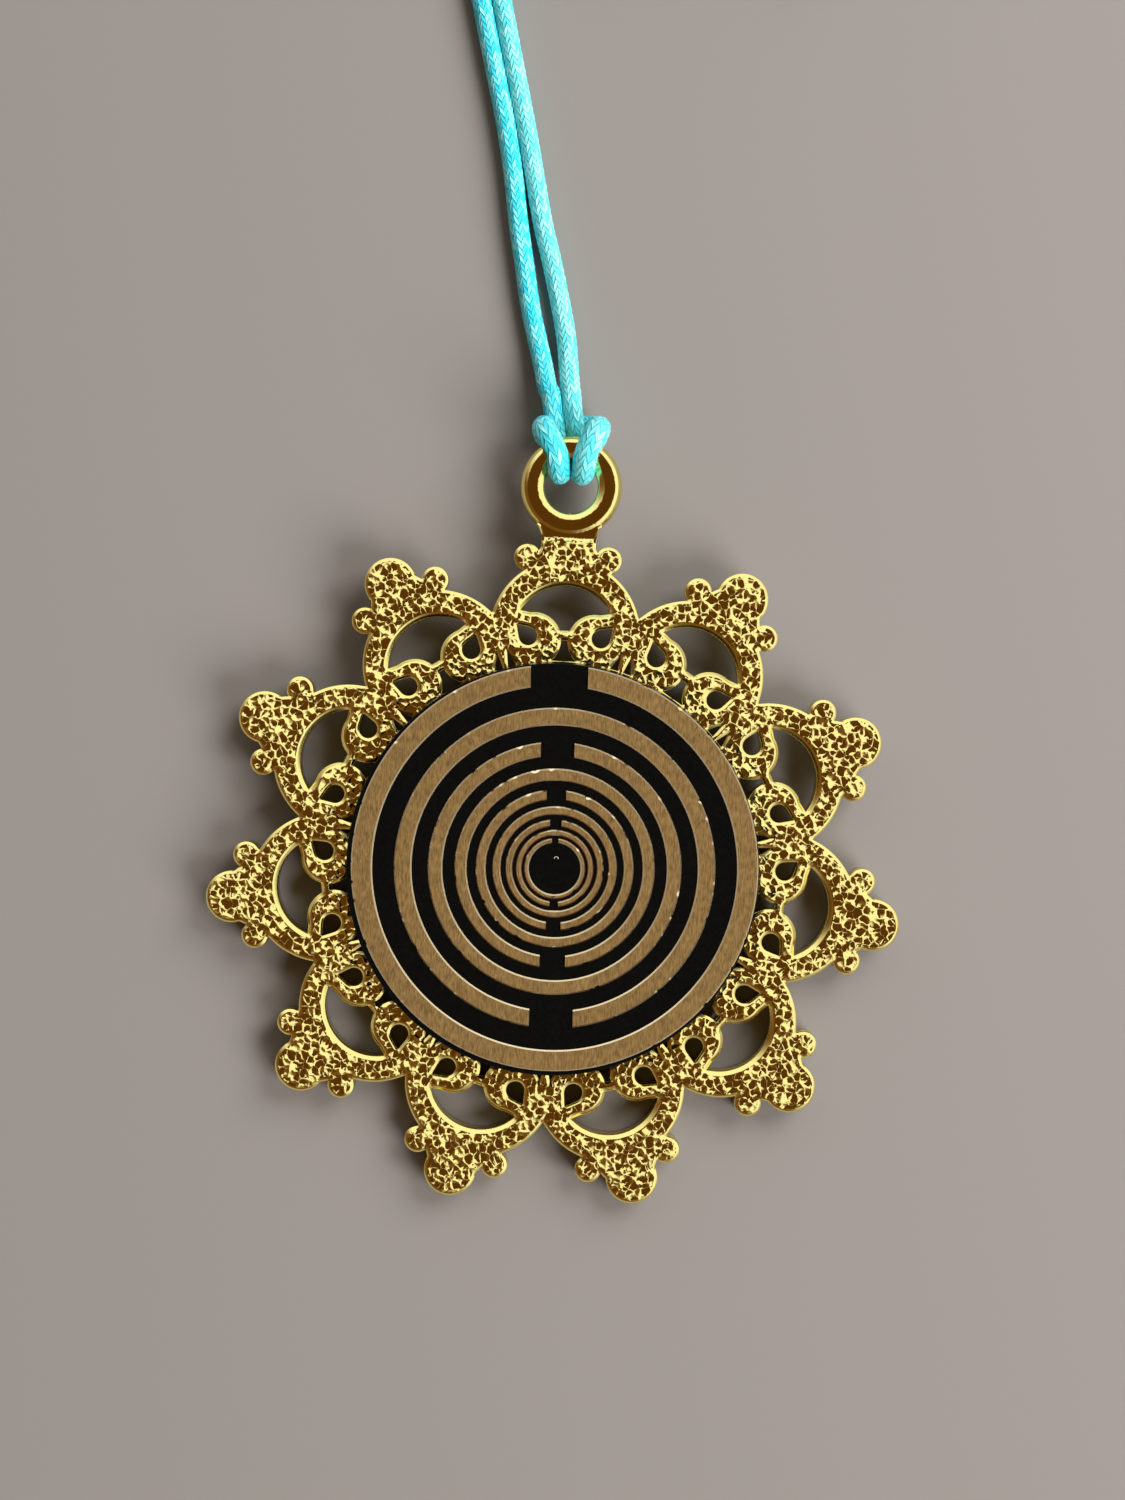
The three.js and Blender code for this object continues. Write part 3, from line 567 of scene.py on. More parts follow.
drop = maths("MULTIPLY", below, mask.outputs["Attribute"])
pressed = node(tree, "GeometryNodeSetPosition", {
    "Geometry": kept, "Offset": node(tree, "ShaderNodeCombineXYZ", {"Z": drop}),
})
smooth = node(tree, "GeometryNodeSetShadeSmooth", {"Geometry": pressed})
cast = node(tree, "GeometryNodeRealizeInstances", {"Geometry": smooth})
gilt = node(tree, "GeometryNodeSetMaterial", {"Geometry": cast, "Material": given["Material"]})
feed(result, {"Geometry": gilt})


def new_material(name, **values):
    """A material, its tree and its Principled BSDF, with the constants set on the shader's own sockets."""
    material = bpy.data.materials.new(name)
    material.use_nodes = True
    shader = material.node_tree.nodes["Principled BSDF"]
    feed(shader, {key.replace("_", " "): value for key, value in values.items()})
    return material, material.node_tree, shader


def mixed(factor, first, second):
    inputs = {0: factor, 6: first, 7: second}
    return node(factor.id_data, "ShaderNodeMix", inputs, data_type="RGBA").outputs[2]


gilt_casting, tree, shader = new_material("gilt casting", Metallic=1.0, Roughness=0.12, Base_Color=GOLD)
mask = node(tree, "ShaderNodeAttribute", attribute_name="nugget").outputs["Fac"]
place = node(tree, "ShaderNodeAttribute", attribute_name="cast_place").outputs["Vector"]
ridge, uphill = nuggets(place, NUGGET_SIZE * MM)
on_ridge = maths("MULTIPLY", maths("GREATER_THAN", ridge, 0.0), mask)
tilt = vector_maths("SCALE", uphill, Scale=maths("MULTIPLY", on_ridge, NUGGET_SLOPE))
tilted = vector_maths("SUBTRACT", tree.nodes.new("ShaderNodeNewGeometry").outputs["Normal"], tilt)
feed(shader, {"Normal": vector_maths("NORMALIZE", tilted)})

top_lobe = lobe_object("top_lobe", True, gilt_casting)
plain_lobe = lobe_object("plain_lobe", False, gilt_casting)
casting = realized("gilt_frame", top_lobe, bpy.data.node_groups["Lobes round the plate"], {
    "Plain lobe": plain_lobe, "Material": gilt_casting,
})
bpy.data.objects.remove(plain_lobe)
turn_outward(casting.data)

BAIL_TOP = Vector((0, BAIL_CENTRE + BAIL_RING_RADIUS, CASTING_MIDDLE)) * MM
CORD_UNDER_BAIL = 2.0
lower_tips = math.cos(HALF_LOBE) * BIG_BALL_CENTRE + BIG_BALL_RADIUS
bail_rise = CORD_UNDER_BAIL + BAIL_WIRE_RADIUS - CASTING_MIDDLE
lean = math.asin(bail_rise / (BAIL_TOP.y / MM + lower_tips))
pivot = Vector(frame["joints"][0]["pos_m"])
lying = Matrix.Translation(pivot) @ Matrix.Rotation(lean, 4, "X") @ Matrix.Translation(-BAIL_TOP)
casting.data.transform(lying)
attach(casting, "pendant")
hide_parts("filigree_frame")


# Adhesive pad: a round of white double-sided foam, cut to drop into the casting's tray.
# It is sealed in under the disc and bonds it to the casting.
FOAM_WHITE = (0.78, 0.76, 0.7, 1)
PORE_SIZE, PORE_DEPTH = 0.12, 0.02


def object_place(tree):
    return node(tree, "ShaderNodeTexCoord").outputs["Object"]


def relief(height, depth, strength=1.0):
    """Normal of a surface that the height raises by up to the depth, in millimetres."""
    inputs = {"Height": height, "Distance": depth * MM, "Strength": strength}
    return node(height.id_data, "ShaderNodeBump", inputs)


def coated(name, material):
    """The CAD solid of that name, kept as it is, with the material on it."""
    solid = frame["nodes"][name]
    solid.data.materials.clear()
    solid.data.materials.append(material)
    return solid


white_foam, tree, shader = new_material("white foam", Roughness=0.9, Base_Color=FOAM_WHITE)
cells = node(tree, "ShaderNodeTexVoronoi", {"Vector": object_place(tree), "Scale": 1 / (PORE_SIZE * MM)})
feed(shader, {"Normal": relief(cells.outputs["Distance"], PORE_DEPTH)})
coated("adhesive_pad", white_foam)


# Disc core: the black plastic core of a two-layer engraving laminate, 1.5 mm thick and 30 mm across.
# It is cut out with a slightly tapered cutter, so its side slopes, and its upper edge is just broken.
SEAT_GAP = 0.02
CORE_THICKNESS = 1.5
CORE_TOP_RADIUS = 14.95
CORE_TAPER = 0.15
CORE_EDGE = 0.05
CORE_STEPS = 256
CORE_SHARP = math.radians(30)
DISC_SHIFT = (0.03, -0.12, 0)
DISC_TURN = math.radians(1.1)
CORE_SHIFT = (-0.14, -0.12, 0)
CORE_BLACK = (0.001, 0.0012, 0.001, 1)
CORE_SCUFF = (0.004, 0.0045, 0.004, 1)
SCUFF_SIZE = 0.3
CHIP = (0.7, 0.66, 0.5, 1)
CHIP_CENTRE = (0.117, -2.83, 0)
CHIP_RADIUS, CHIP_THICKNESS = 0.15, 0.03


def lathe(name, profile, steps):
    """Solid of revolution about the Z axis, from radius and height pairs that start and end on the axis."""
    angles = np.linspace(0, 2 * math.pi, steps, endpoint=False)
    points = np.vstack([
        np.column_stack([radius * np.cos(angles), radius * np.sin(angles), np.full(steps, height)])
        for radius, height in profile
    ])
    faces = []
    for row in range(0, (len(profile) - 1) * steps, steps):
        for k in range(steps):
            ahead = (k + 1) % steps
            faces.append((row + k, row + ahead, row + steps + ahead, row + steps + k))
    mesh = bpy.data.meshes.new(name)
    mesh.from_pydata(points * MM, [], faces)
    turn_outward(mesh)
    return new_object(name, mesh)


def shade(mesh, sharp_angle):
    mesh.shade_smooth()
    mesh.set_sharp_from_angle(angle=sharp_angle)


def noise(place, size, detail):
    """Noise with patches about as wide as the size, in millimetres."""
    inputs = {"Vector": place, "Scale": 1 / (size * MM), "Detail": detail}
    return node(place.id_data, "ShaderNodeTexNoise", inputs)


def axis_distance(at):
    """Distance from the Z axis of the place that a Separate XYZ node holds."""
    squares = [maths("MULTIPLY", at.outputs[axis], at.outputs[axis]) for axis in "XY"]
    return maths("SQRT", maths("ADD", *squares))


foot = CASTING_THICKNESS + SEAT_GAP
face = foot + CORE_THICKNESS
core = lathe("black_core", [
    (0, foot),
    (CORE_TOP_RADIUS + CORE_TAPER, foot),
    (CORE_TOP_RADIUS + CORE_TAPER * CORE_EDGE / CORE_THICKNESS, face - CORE_EDGE),
    (CORE_TOP_RADIUS - CORE_EDGE, face),
    (0, face),
], CORE_STEPS)
disc_place = Matrix.Translation(Vector(DISC_SHIFT) * MM) @ Matrix.Rotation(DISC_TURN, 4, "Z")
core.data.transform(lying @ disc_place @ Matrix.Translation(Vector(CORE_SHIFT) * MM))
shade(core.data, CORE_SHARP)

black_core, tree, shader = new_material("black laminate core", Roughness=0.22, Specular_IOR_Level=0.15)
place = object_place(tree)
black = mixed(noise(place, SCUFF_SIZE, 4.0), CORE_BLACK, CORE_SCUFF)
from_chip = vector_maths("SUBTRACT", place, Vector(CHIP_CENTRE) * MM)
chip = node(tree, "ShaderNodeSeparateXYZ", {0: from_chip})
chip_reach = axis_distance(chip)
on_arc = maths("COMPARE", chip_reach, CHIP_RADIUS * MM, CHIP_THICKNESS / 2 * MM)
chipped = maths("MULTIPLY", on_arc, maths("GREATER_THAN", chip.outputs["Y"], 0.0))
feed(shader, {"Base Color": mixed(chipped, black, CHIP)})
core.data.materials.append(black_core)
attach(core, "pendant")
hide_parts("disc_core")


# Cap rings: what the engraving left of the laminate's 0.1 mm copper-coloured cap. Each of the nine is split
# once by a slot with parallel sides, at the top and at the bottom by turns. The cutter left their edges
# sloping, and its grain and some nicks show. The sloping edges are glossier metal, with a painted highlight
# in their pale cream colour.
RINGS = 9
CAP_THICKNESS = 0.1
CAP_MARGIN = 0.2
RING_WIDTH = 1.545
RING_SPLIT = 4.14
RING_OUTER_SHARE, RING_WIDTH_SHARE, RING_SPLIT_SHARE = 0.789, 0.829, 0.765
RING_SLOPE = 0.105
RING_STEP = 0.1
RING_SHARP = math.radians(20)
NICK_DEPTH, NICK_SIZE = 0.1, 0.6
NICK_CHANCE = (0.6, 0.75)
FLAT_FACING = 0.95
COPPER = (0.49, 0.312, 0.115, 1)
COPPER_DARK = (0.25, 0.157, 0.058, 1)
COPPER_SCRATCH = (0.1, 0.06, 0.03, 1)
# The cut edges' pale cream colour is a painted highlight; their lower roughness and full metallic are real
# gloss.
COPPER_EDGE_HIGHLIGHT = (1, 0.84, 0.55, 1)
COPPER_ROUGHNESS, EDGE_ROUGHNESS = 0.38, 0.18
COPPER_METALLIC, EDGE_METALLIC = 0.6, 1.0
GRAIN_SIZE, GRAIN_STRETCH = 0.09, 0.16
GRAIN_SHARE, CLOUD_SHARE = 0.7, 0.3
GRAIN_DEPTH, GRAIN_STRENGTH = 0.01, 0.6
CLOUD_SIZE = 0.5
TONE_RANGE = (0.38, 0.62)
SCRATCH_SIZE, SCRATCH_STRETCH = 0.25, 12
SCRATCH_SLANT = math.radians(-28)
SCRATCH_RANGE = (0.73, 0.8)


def ramp(value, start, end, kind="LINEAR"):
    """0 where the value is up to the start, rising to 1 where it reaches the end."""
    inputs = {"Value": value, "From Min": start, "From Max": end}
    return node(value.id_data, "ShaderNodeMapRange", inputs, interpolation_type=kind)


tree, given, result = new_tree("Split ring", "GeometryNodeTree", [
    ("Geometry", "Geometry", None),
    ("Outer radius", "Float", CORE_TOP_RADIUS * MM),
    ("Width", "Float", RING_WIDTH * MM),
    ("Split", "Float", RING_SPLIT * MM),
    ("Split angle", "Float", 0.0),
    ("Thickness", "Float", CAP_THICKNESS * MM),
    ("Slope", "Float", RING_SLOPE * MM),
    ("Nick", "Float", NICK_DEPTH * MM),
    ("Height", "Float", 0.0),
    ("Steps", "Int", 100),
    ("Material", "Material", None),
], [("Geometry", "Geometry")])
middle = maths("SUBTRACT", given["Outer radius"], maths("MULTIPLY", given["Width"], 0.5))
half_split = maths("MULTIPLY", given["Split"], 0.5)
start = maths("ARCSINE", maths("DIVIDE", half_split, middle))
sweep = maths("SUBTRACT", 2 * math.pi, maths("MULTIPLY", start, 2.0))
line = node(tree, "GeometryNodeCurveArc", {
    "Resolution": given["Steps"], "Radius": middle, "Start Angle": start, "Sweep Angle": sweep,
})
top_width = maths("SUBTRACT", given["Width"], maths("MULTIPLY", given["Slope"], 2.0))
profile = node(tree, "GeometryNodeCurvePrimitiveQuadrilateral", {
    "Height": given["Thickness"], "Bottom Width": top_width, "Top Width": given["Width"], "Offset": 0.0,
}, mode="TRAPEZOID")
swept = node(tree, "GeometryNodeCurveToMesh", {
    "Curve": line.outputs["Curve"], "Profile Curve": profile, "Fill Caps": True,
})
at = node(tree, "ShaderNodeSeparateXYZ", {0: tree.nodes.new("GeometryNodeInputPosition")})
radius = axis_distance(at)
opposite = maths("ARCTAN2", *(maths("MULTIPLY", at.outputs[axis], -1.0) for axis in "YX"))
own_start = maths("ARCSINE", maths("DIVIDE", half_split, radius))
stretch = maths("DIVIDE", *(maths("SUBTRACT", math.pi, each) for each in (own_start, start)))
angle = maths("ADD", maths("MULTIPLY", opposite, stretch), given["Split angle"])
grit = node(tree, "ShaderNodeTexNoise", {"Scale": 1 / (NICK_SIZE * MM), "Detail": 3.0})
chance = ramp(grit, *NICK_CHANCE, "SMOOTHSTEP")
outer_side = maths("GREATER_THAN", radius, middle)
nick = maths("MULTIPLY", maths("MULTIPLY", chance, outer_side), given["Nick"])
back = maths("MULTIPLY", maths("SUBTRACT", radius, nick), -1.0)
spot = node(tree, "ShaderNodeCombineXYZ", {
    "X": maths("MULTIPLY", back, maths("COSINE", angle)),
    "Y": maths("MULTIPLY", back, maths("SINE", angle)),
    "Z": maths("ADD", at.outputs["Z"], given["Height"]),
})
bent = node(tree, "GeometryNodeSetPosition", {"Geometry": swept, "Position": spot})
facing = node(tree, "ShaderNodeSeparateXYZ", {0: tree.nodes.new("GeometryNodeInputNormal")})
cut = maths("LESS_THAN", facing.outputs["Z"], FLAT_FACING)
marked = node(tree, "GeometryNodeStoreNamedAttribute", {
    "Geometry": bent, "Name": "cut_edge", "Value": cut,
}, data_type="FLOAT", domain="FACE")
real = node(tree, "GeometryNodeRealizeInstances", {"Geometry": marked})
covered = node(tree, "GeometryNodeSetMaterial", {"Geometry": real, "Material": given["Material"]})
feed(result, {"Geometry": covered})
split_ring = tree

copper_cap, tree, shader = new_material("copper cap")
place = object_place(tree)
brushed = node(tree, "ShaderNodeMapping", {"Vector": place, "Scale": (1, GRAIN_STRETCH, 1)})
grain = noise(brushed, GRAIN_SIZE, 3.0)
cloud = maths("MULTIPLY", noise(place, CLOUD_SIZE, 4.0), CLOUD_SHARE)
tone = maths("MULTIPLY_ADD", grain, GRAIN_SHARE, cloud)
slanted = node(tree, "ShaderNodeMapping", {
    "Vector": place, "Rotation": (0, 0, SCRATCH_SLANT), "Scale": (1, SCRATCH_STRETCH, 1),
}, vector_type="TEXTURE")
scratched = ramp(noise(slanted, SCRATCH_SIZE, 1.0), *SCRATCH_RANGE)
cut_edge = node(tree, "ShaderNodeAttribute", attribute_name="cut_edge").outputs["Fac"]
colour = mixed(ramp(tone, *TONE_RANGE), COPPER_DARK, COPPER)
colour = mixed(scratched, colour, COPPER_SCRATCH)
# On the sloping cut edges the painted highlight colour replaces the copper.
feed(shader, {
    "Base Color": mixed(cut_edge, colour, COPPER_EDGE_HIGHLIGHT),
    "Roughness": maths("MULTIPLY_ADD", cut_edge, EDGE_ROUGHNESS - COPPER_ROUGHNESS, COPPER_ROUGHNESS),
    "Metallic": maths("MULTIPLY_ADD", cut_edge, EDGE_METALLIC - COPPER_METALLIC, COPPER_METALLIC),
    "Normal": relief(tone, GRAIN_DEPTH, GRAIN_STRENGTH),
})

cap_middle = face + SEAT_GAP + CAP_THICKNESS / 2
for ring in range(RINGS):
    outer = (CORE_TOP_RADIUS - CAP_MARGIN) * RING_OUTER_SHARE ** ring
    blank = new_object("blank", bpy.data.meshes.new("blank"))
    cap = realized(f"copper_ring_{ring + 1}", blank, split_ring, {
        "Outer radius": outer * MM,
        "Width": RING_WIDTH * RING_WIDTH_SHARE ** ring * MM,
        "Split": RING_SPLIT * RING_SPLIT_SHARE ** ring * MM,
        "Split angle": math.pi / 2 if ring % 2 == 0 else -math.pi / 2,
        "Height": cap_middle * MM,
        "Steps": math.ceil(2 * math.pi * outer / RING_STEP),
        "Material": copper_cap,
    })
    turn_outward(cap.data)
    cap.data.transform(lying @ disc_place)
    shade(cap.data, RING_SHARP)
    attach(cap, "pendant")
    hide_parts(f"cap_ring_{ring + 1}")


# Cord at the bail: the middle of the round braided satin cord, tied round the bail in a lark's head hitch.
# It is pulled tight, so it is pressed against the bail's wire and against itself.
CORD_DIAMETER = 1.5
CORD_SIDES = 40
CORD_STEP = 0.12
CORD_SHARP = math.radians(60)
BRAID_COLUMNS = 16
BRAID_PITCH = 0.58
BRAID_SLANT = 0.8
BRAID_DEPTH = 0.06
BRAID_FALL, BRAID_FALL_POWER = 0.4, 4
FIBRES_ALONG, FIBRES_ACROSS = 3.0, 0.8
FIBRE_SHARE, STITCH_SHARE = 0.6, 0.8
BAIL_CLEARANCE = 0.1
SWING_STEPS = 9
PUSH_LIMIT, PUSH_STEPS = 5, 161
HITCH_ROUTE = [
    (-1.8, 4.05, -1.05, 1), (-1.62, 3.1, -0.8, 1), (-1.4, 2.1, -0.95, 1), (-1.12, 1.1, -1.4, 1),
    (-0.92, 0.1, -1.7, 1), (-0.88, -0.95, -1.5, 1.05), (-0.88, -1.6, -0.85, 1.1), (-0.9, -1.84, 0.05, 1.15),
    (-1.0, -1.58, 1.05, 1.2), (-1.22, -0.8, 1.72, 1.25), (-1.6, 0.02, 1.88, 1.28), (-1.97, 0.72, 1.66, 1.25),
    (-2.17, 1.2, 0.95, 1.2), (-2.2, 1.5, -0.1, 1.1), (-2.05, 1.75, -1.2, 1), (-1.5, 1.9, -1.9, 1),
    (-0.7, 1.95, -2.08, 1), (0.25, 1.95, -2.1, 1), (1.1, 1.95, -1.9, 1), (1.65, 1.85, -1.2, 1),
    (1.82, 1.65, -0.1, 1.1), (1.78, 1.35, 0.95, 1.2), (1.58, 0.82, 1.66, 1.25), (1.28, 0.08, 1.88, 1.28),
    (1.0, -0.8, 1.72, 1.25), (0.84, -1.58, 1.05, 1.2), (0.76, -1.84, 0.05, 1.15), (0.72, -1.6, -0.85, 1.1),
    (0.64, -0.95, -1.5, 1.05), (0.52, 0.1, -1.7, 1), (0.25, 1.1, -1.4, 1), (-0.02, 2.1, -0.95, 1),
    (-0.18, 3.1, -0.8, 1), (-0.3, 4.05, -1.05, 1),
]
# The cord's colours: its hue drifts slowly between turquoise and sky blue along the cord.
TURQUOISE = (0.25, 0.89, 0.84, 1)
SKY_BLUE = (0.055, 0.79, 0.94, 1)
# The pale colour is a painted sheen on the lightest stitches.
TURQUOISE_PAINTED_SHEEN = (0.38, 0.88, 0.9, 1)
# The dark colour is painted shade in the grooves between the stitches, and also the tone of stitches that are
# darker at random.
DARK_STITCH_AND_GROOVE_SHADE = (0.018, 0.47, 0.58, 1)
HUE_DRIFT = 120
HUE_PHASE = math.radians(135)
GROOVE_SHADE_END = 0.7
PAINTED_SHEEN_RANGE = (0.55, 1.25)
RELIEF_GAIN = 1.5


def smooth_line(route, step, before=None):
    """Centripetal Catmull-Rom curve through the route, carried on from before: points about a step apart."""
    route = np.array(route, float)
    if before is None:
        before = 2 * route[0] - route[1]
    route = np.vstack([before, route, 2 * route[-1] - route[-2]])
    line = [route[1:2]]
    for a, b, c, d in zip(route, route[1:], route[2:], route[3:]):
        sides = [np.linalg.norm(q - p) ** 0.5 for p, q in ((a, b), (b, c), (c, d))]
        t0, t1, t2, t3 = np.cumsum([0, *sides])
        count = max(1, math.ceil(np.linalg.norm(c - b) / step))
        t = np.linspace(t1, t2, count + 1)[1:, None]

        def between(p, q, start, end):
            return (p * (end - t) + q * (t - start)) / (end - start)

        first, second, third = between(a, b, t0, t1), between(b, c, t1, t2), between(c, d, t2, t3)
        line.append(between(between(first, second, t0, t2), between(second, third, t1, t3), t1, t2))
    return np.vstack(line)


def braid_height(round_share, travelled):
    """Height of the braid's columns of leaning stitches, from 0 between the stitches to 1 on their backs."""
    columns = BRAID_COLUMNS * round_share
    across = columns % 1
    lean = np.where(np.floor(columns) % 2 == 0, across, 1 - across)
    along = (travelled / BRAID_PITCH + BRAID_SLANT * lean) % 1 * 2 - 1
    fall = BRAID_FALL * (2 * across - 1) ** BRAID_FALL_POWER
    return np.sqrt(np.clip(1 - along ** 2, 0, 1)) * (1 - fall)


def cord_length(line):
    return float(np.linalg.norm(np.diff(line, axis=0), axis=1).sum())


def directions(line):
    along = np.gradient(line, axis=0)
    return along / np.linalg.norm(along, axis=1)[:, None]


def untwisted(line, side=None):
    """Directions across a line, from the given one on, that turn no more than the line bends."""
    along = directions(line)
    if side is None:
        side = np.cross(along[0], (0, 0, 1))
    sides = []
    for direction in along:
        side = side - direction * side.dot(direction)
        side /= np.linalg.norm(side)
        sides.append(side)
    return np.array(sides)


def braided(name, stretches, material, swell=1, before=0):
    """Closed tubes of braided cord, with the braid's relief and a UV map of its run.

    A stretch is a line in millimetres and its directions across. Swell is how many times its own
    thickness the cord has, at each point of the line or everywhere, and before is the cord's length
    up to the line's start.
    """
    points, faces, uvs = [], [], []
    k = np.arange(CORD_SIDES)
    share = k / CORD_SIDES
    ahead = (k + 1) % CORD_SIDES
    for line, sides in stretches:
        rises = np.cross(sides, directions(line))
        steps = np.linalg.norm(np.diff(line, axis=0), axis=1)
        travelled = before + np.append(0, np.cumsum(steps))[:, None]
        radius = CORD_DIAMETER / 2 - BRAID_DEPTH * (1 - braid_height(share, travelled))
        radius = radius * np.reshape(swell, (-1, 1))
        turn = 2 * math.pi * share
        out = sides[:, None] * np.cos(turn)[:, None] + rises[:, None] * np.sin(turn)[:, None]
        first = sum(len(block) for block in points)
        points += [(line[:, None] + out * radius[..., None]).reshape(-1, 3), line[[0, -1]]]
        ring = first + np.arange(len(line))[:, None] * CORD_SIDES
        quads = np.stack([ring[:-1] + k, ring[:-1] + ahead, ring[1:] + ahead, ring[1:] + k], axis=2)
        faces += quads.reshape(-1, 4).tolist()
        low, high = travelled[:-1] / BRAID_PITCH + 0 * k, travelled[1:] / BRAID_PITCH + 0 * k
        left, right = share + 0 * low, (k + 1) / CORD_SIDES + 0 * low
        corners = np.stack([left, low, right, low, right, high, left, high], axis=2)
        uvs.append(corners.reshape(-1, 2))
        ends = first + len(line) * CORD_SIDES
        last = ends - CORD_SIDES
        for i, ahead_i in zip(k, ahead):
            faces.append((ends, first + ahead_i, first + i))
            faces.append((ends + 1, last + i, last + ahead_i))
        uvs.append(np.zeros((6 * CORD_SIDES, 2)))
    mesh = bpy.data.meshes.new(name)
    mesh.from_pydata(np.vstack(points) * MM, [], faces)
    mesh.uv_layers.new(name="UVMap").data.foreach_set("uv", np.vstack(uvs).ravel())
    mesh.materials.append(material)
    shade(mesh, CORD_SHARP)
    return new_object(name, mesh)


braid, given, result = new_tree("Braid", "ShaderNodeTree", [
    ("Run", "Vector", None),
    ("Columns", "Float", BRAID_COLUMNS),
    ("Slant", "Float", BRAID_SLANT),
], [("Height", "Float"), ("Fibre", "Float")])
run = node(braid, "ShaderNodeSeparateXYZ", {0: given["Run"]})
columns = maths("MULTIPLY", run.outputs["X"], given["Columns"])
column = maths("FLOOR", columns)
across = maths("FRACT", columns)
odd = maths("FLOORED_MODULO", column, 2.0)
outward_across = maths("MULTIPLY", across, maths("MULTIPLY_ADD", odd, -2.0, 1.0))
from_side = maths("ADD", odd, outward_across)
along = maths("MULTIPLY_ADD", from_side, given["Slant"], run.outputs["Y"])
side = maths("MULTIPLY_ADD", maths("FRACT", along), 2.0, -1.0)
back = maths("SQRT", maths("SUBTRACT", 1.0, maths("MULTIPLY", side, side)))
from_middle = maths("ABSOLUTE", maths("MULTIPLY_ADD", across, 2.0, -1.0))
fall = maths("POWER", from_middle, BRAID_FALL_POWER)
kept_height = maths("MULTIPLY_ADD", fall, -BRAID_FALL, 1.0)
feed(result, {"Height": maths("MULTIPLY", back, kept_height)})
stitch = node(braid, "ShaderNodeCombineXYZ", {"X": column, "Y": maths("FLOOR", along)})
chance = node(braid, "ShaderNodeTexWhiteNoise", {"Vector": stitch})
fibre_place = node(braid, "ShaderNodeCombineXYZ", {
    "X": maths("MULTIPLY", along, FIBRES_ALONG),
    "Y": maths("MULTIPLY", across, FIBRES_ACROSS),
    "Z": column,
})
fibre = node(braid, "ShaderNodeTexNoise", {"Vector": fibre_place, "Scale": 1.0, "Detail": 1.0})
# The fibre noise and each stitch's chance give a tone that differs at random; the satin cord material turns
# the highest of it into painted sheen.
fibre_tone_and_sheen = maths("MULTIPLY", fibre, FIBRE_SHARE)
feed(result, {"Fibre": maths("MULTIPLY_ADD", chance.outputs["Value"], STITCH_SHARE, fibre_tone_and_sheen)})

satin_cord, tree, shader = new_material("satin cord", Roughness=0.35, Specular_IOR_Level=0.5)
run = node(tree, "ShaderNodeUVMap", uv_map="UVMap")
stitches = node(tree, "ShaderNodeGroup", {"Run": run}, node_tree=braid).outputs
# Painted shade: low in the braid's grooves the colour darkens towards the dark colour; the random stitch tone
# darkens it too.
clear_of_groove_shade = ramp(stitches["Height"], 0.0, GROOVE_SHADE_END)
painted_light_and_tone = maths("MULTIPLY", clear_of_groove_shade, stitches["Fibre"])
travelled = node(tree, "ShaderNodeSeparateXYZ", {0: run}).outputs["Y"]
# The hue drifts slowly between turquoise and sky blue along the cord.
wave = maths("MULTIPLY_ADD", travelled, 2 * math.pi * BRAID_PITCH / HUE_DRIFT, HUE_PHASE)
hue_share = maths("MULTIPLY_ADD", maths("SINE", wave), 0.5, 0.5)
threads_with_painted_shade = mixed(painted_light_and_tone, DARK_STITCH_AND_GROOVE_SHADE, mixed(hue_share, TURQUOISE, SKY_BLUE))
# Painted sheen: the lightest stitches turn pale.
painted_sheen = ramp(painted_light_and_tone, *PAINTED_SHEEN_RANGE)
feed(shader, {
    "Base Color": mixed(painted_sheen, threads_with_painted_shade, TURQUOISE_PAINTED_SHEEN),
    "Normal": relief(stitches["Height"], RELIEF_GAIN * BRAID_DEPTH),
})

hitch_line = smooth_line(HITCH_ROUTE, CORD_STEP)
hitch_swell = hitch_line[:, 3]
hitch_line = hitch_line[:, :3] + np.array(pivot) / MM
hitch_sides = untwisted(hitch_line)
hitch = braided("lark_head_hitch", [(hitch_line, hitch_sides)], satin_cord, hitch_swell)


def moved_by(matrix, points):
    matrix = np.array(matrix)
    return points @ matrix[:3, :3].T + matrix[:3, 3]


def clear_of_bail(points):
    """Points in the casting's own place, pushed straight out of the bail's wire where they lie in it."""
    bail_middle = np.array([0, BAIL_CENTRE, CASTING_MIDDLE]) * MM
    radial = (points - bail_middle) * (1, 1, 0)
    radial /= np.linalg.norm(radial, axis=1)[:, None]
    nearest = bail_middle + radial * BAIL_RING_RADIUS * MM
    away = points - nearest
    half = (BAIL_WIRE_RADIUS + BAIL_CLEARANCE) * MM
    ring_share = (away * radial).sum(axis=1) / half
    rise_share = np.abs(away[:, 2]) / half
    push = np.linspace(1, PUSH_LIMIT, PUSH_STEPS)
    clear = rise_share[:, None] * push >= bail_rise_share(ring_share[:, None] * push)
    within = np.maximum(np.abs(ring_share), rise_share) < 1
    return nearest + away * np.where(within, push[clear.argmax(axis=1)], 1)[:, None]


places = np.array([vertex.co for vertex in hitch.data.vertices])
angles = np.radians(np.linspace(*frame["joints"][0]["range_deg"], SWING_STEPS))
for angle in [*angles, *angles[::-1]]:
    swung = Matrix.Translation(pivot) @ Matrix.Rotation(angle, 4, "X") @ Matrix.Translation(-pivot)
    in_casting = lying.inverted() @ swung
    places = moved_by(in_casting.inverted(), clear_of_bail(moved_by(in_casting, places)))
places[:, 2] = np.maximum(places[:, 2], 0)
hitch.data.vertices.foreach_set("co", places.ravel())
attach(hitch, "cord")
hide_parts("cord_hitch")


# End knot: a barrel knot of the same cord, three wraps of one end round both strands.
# The two cut ends stick out behind it.
COIL_X, COIL_Y = 1.8, 83.5
COIL_RADIUS = 13.3
COIL_TAIL = 8
CORD_END_GAP = 0.3
KNOT_RADIUS = 2.1
KNOT_LENGTH = 4.6
KNOT_TURNS = 2.25
KNOT_TAIL = 3.4
KNOT_TAIL_SPREAD = 0.55
KNOT_STRAND_SIDE = 0.98
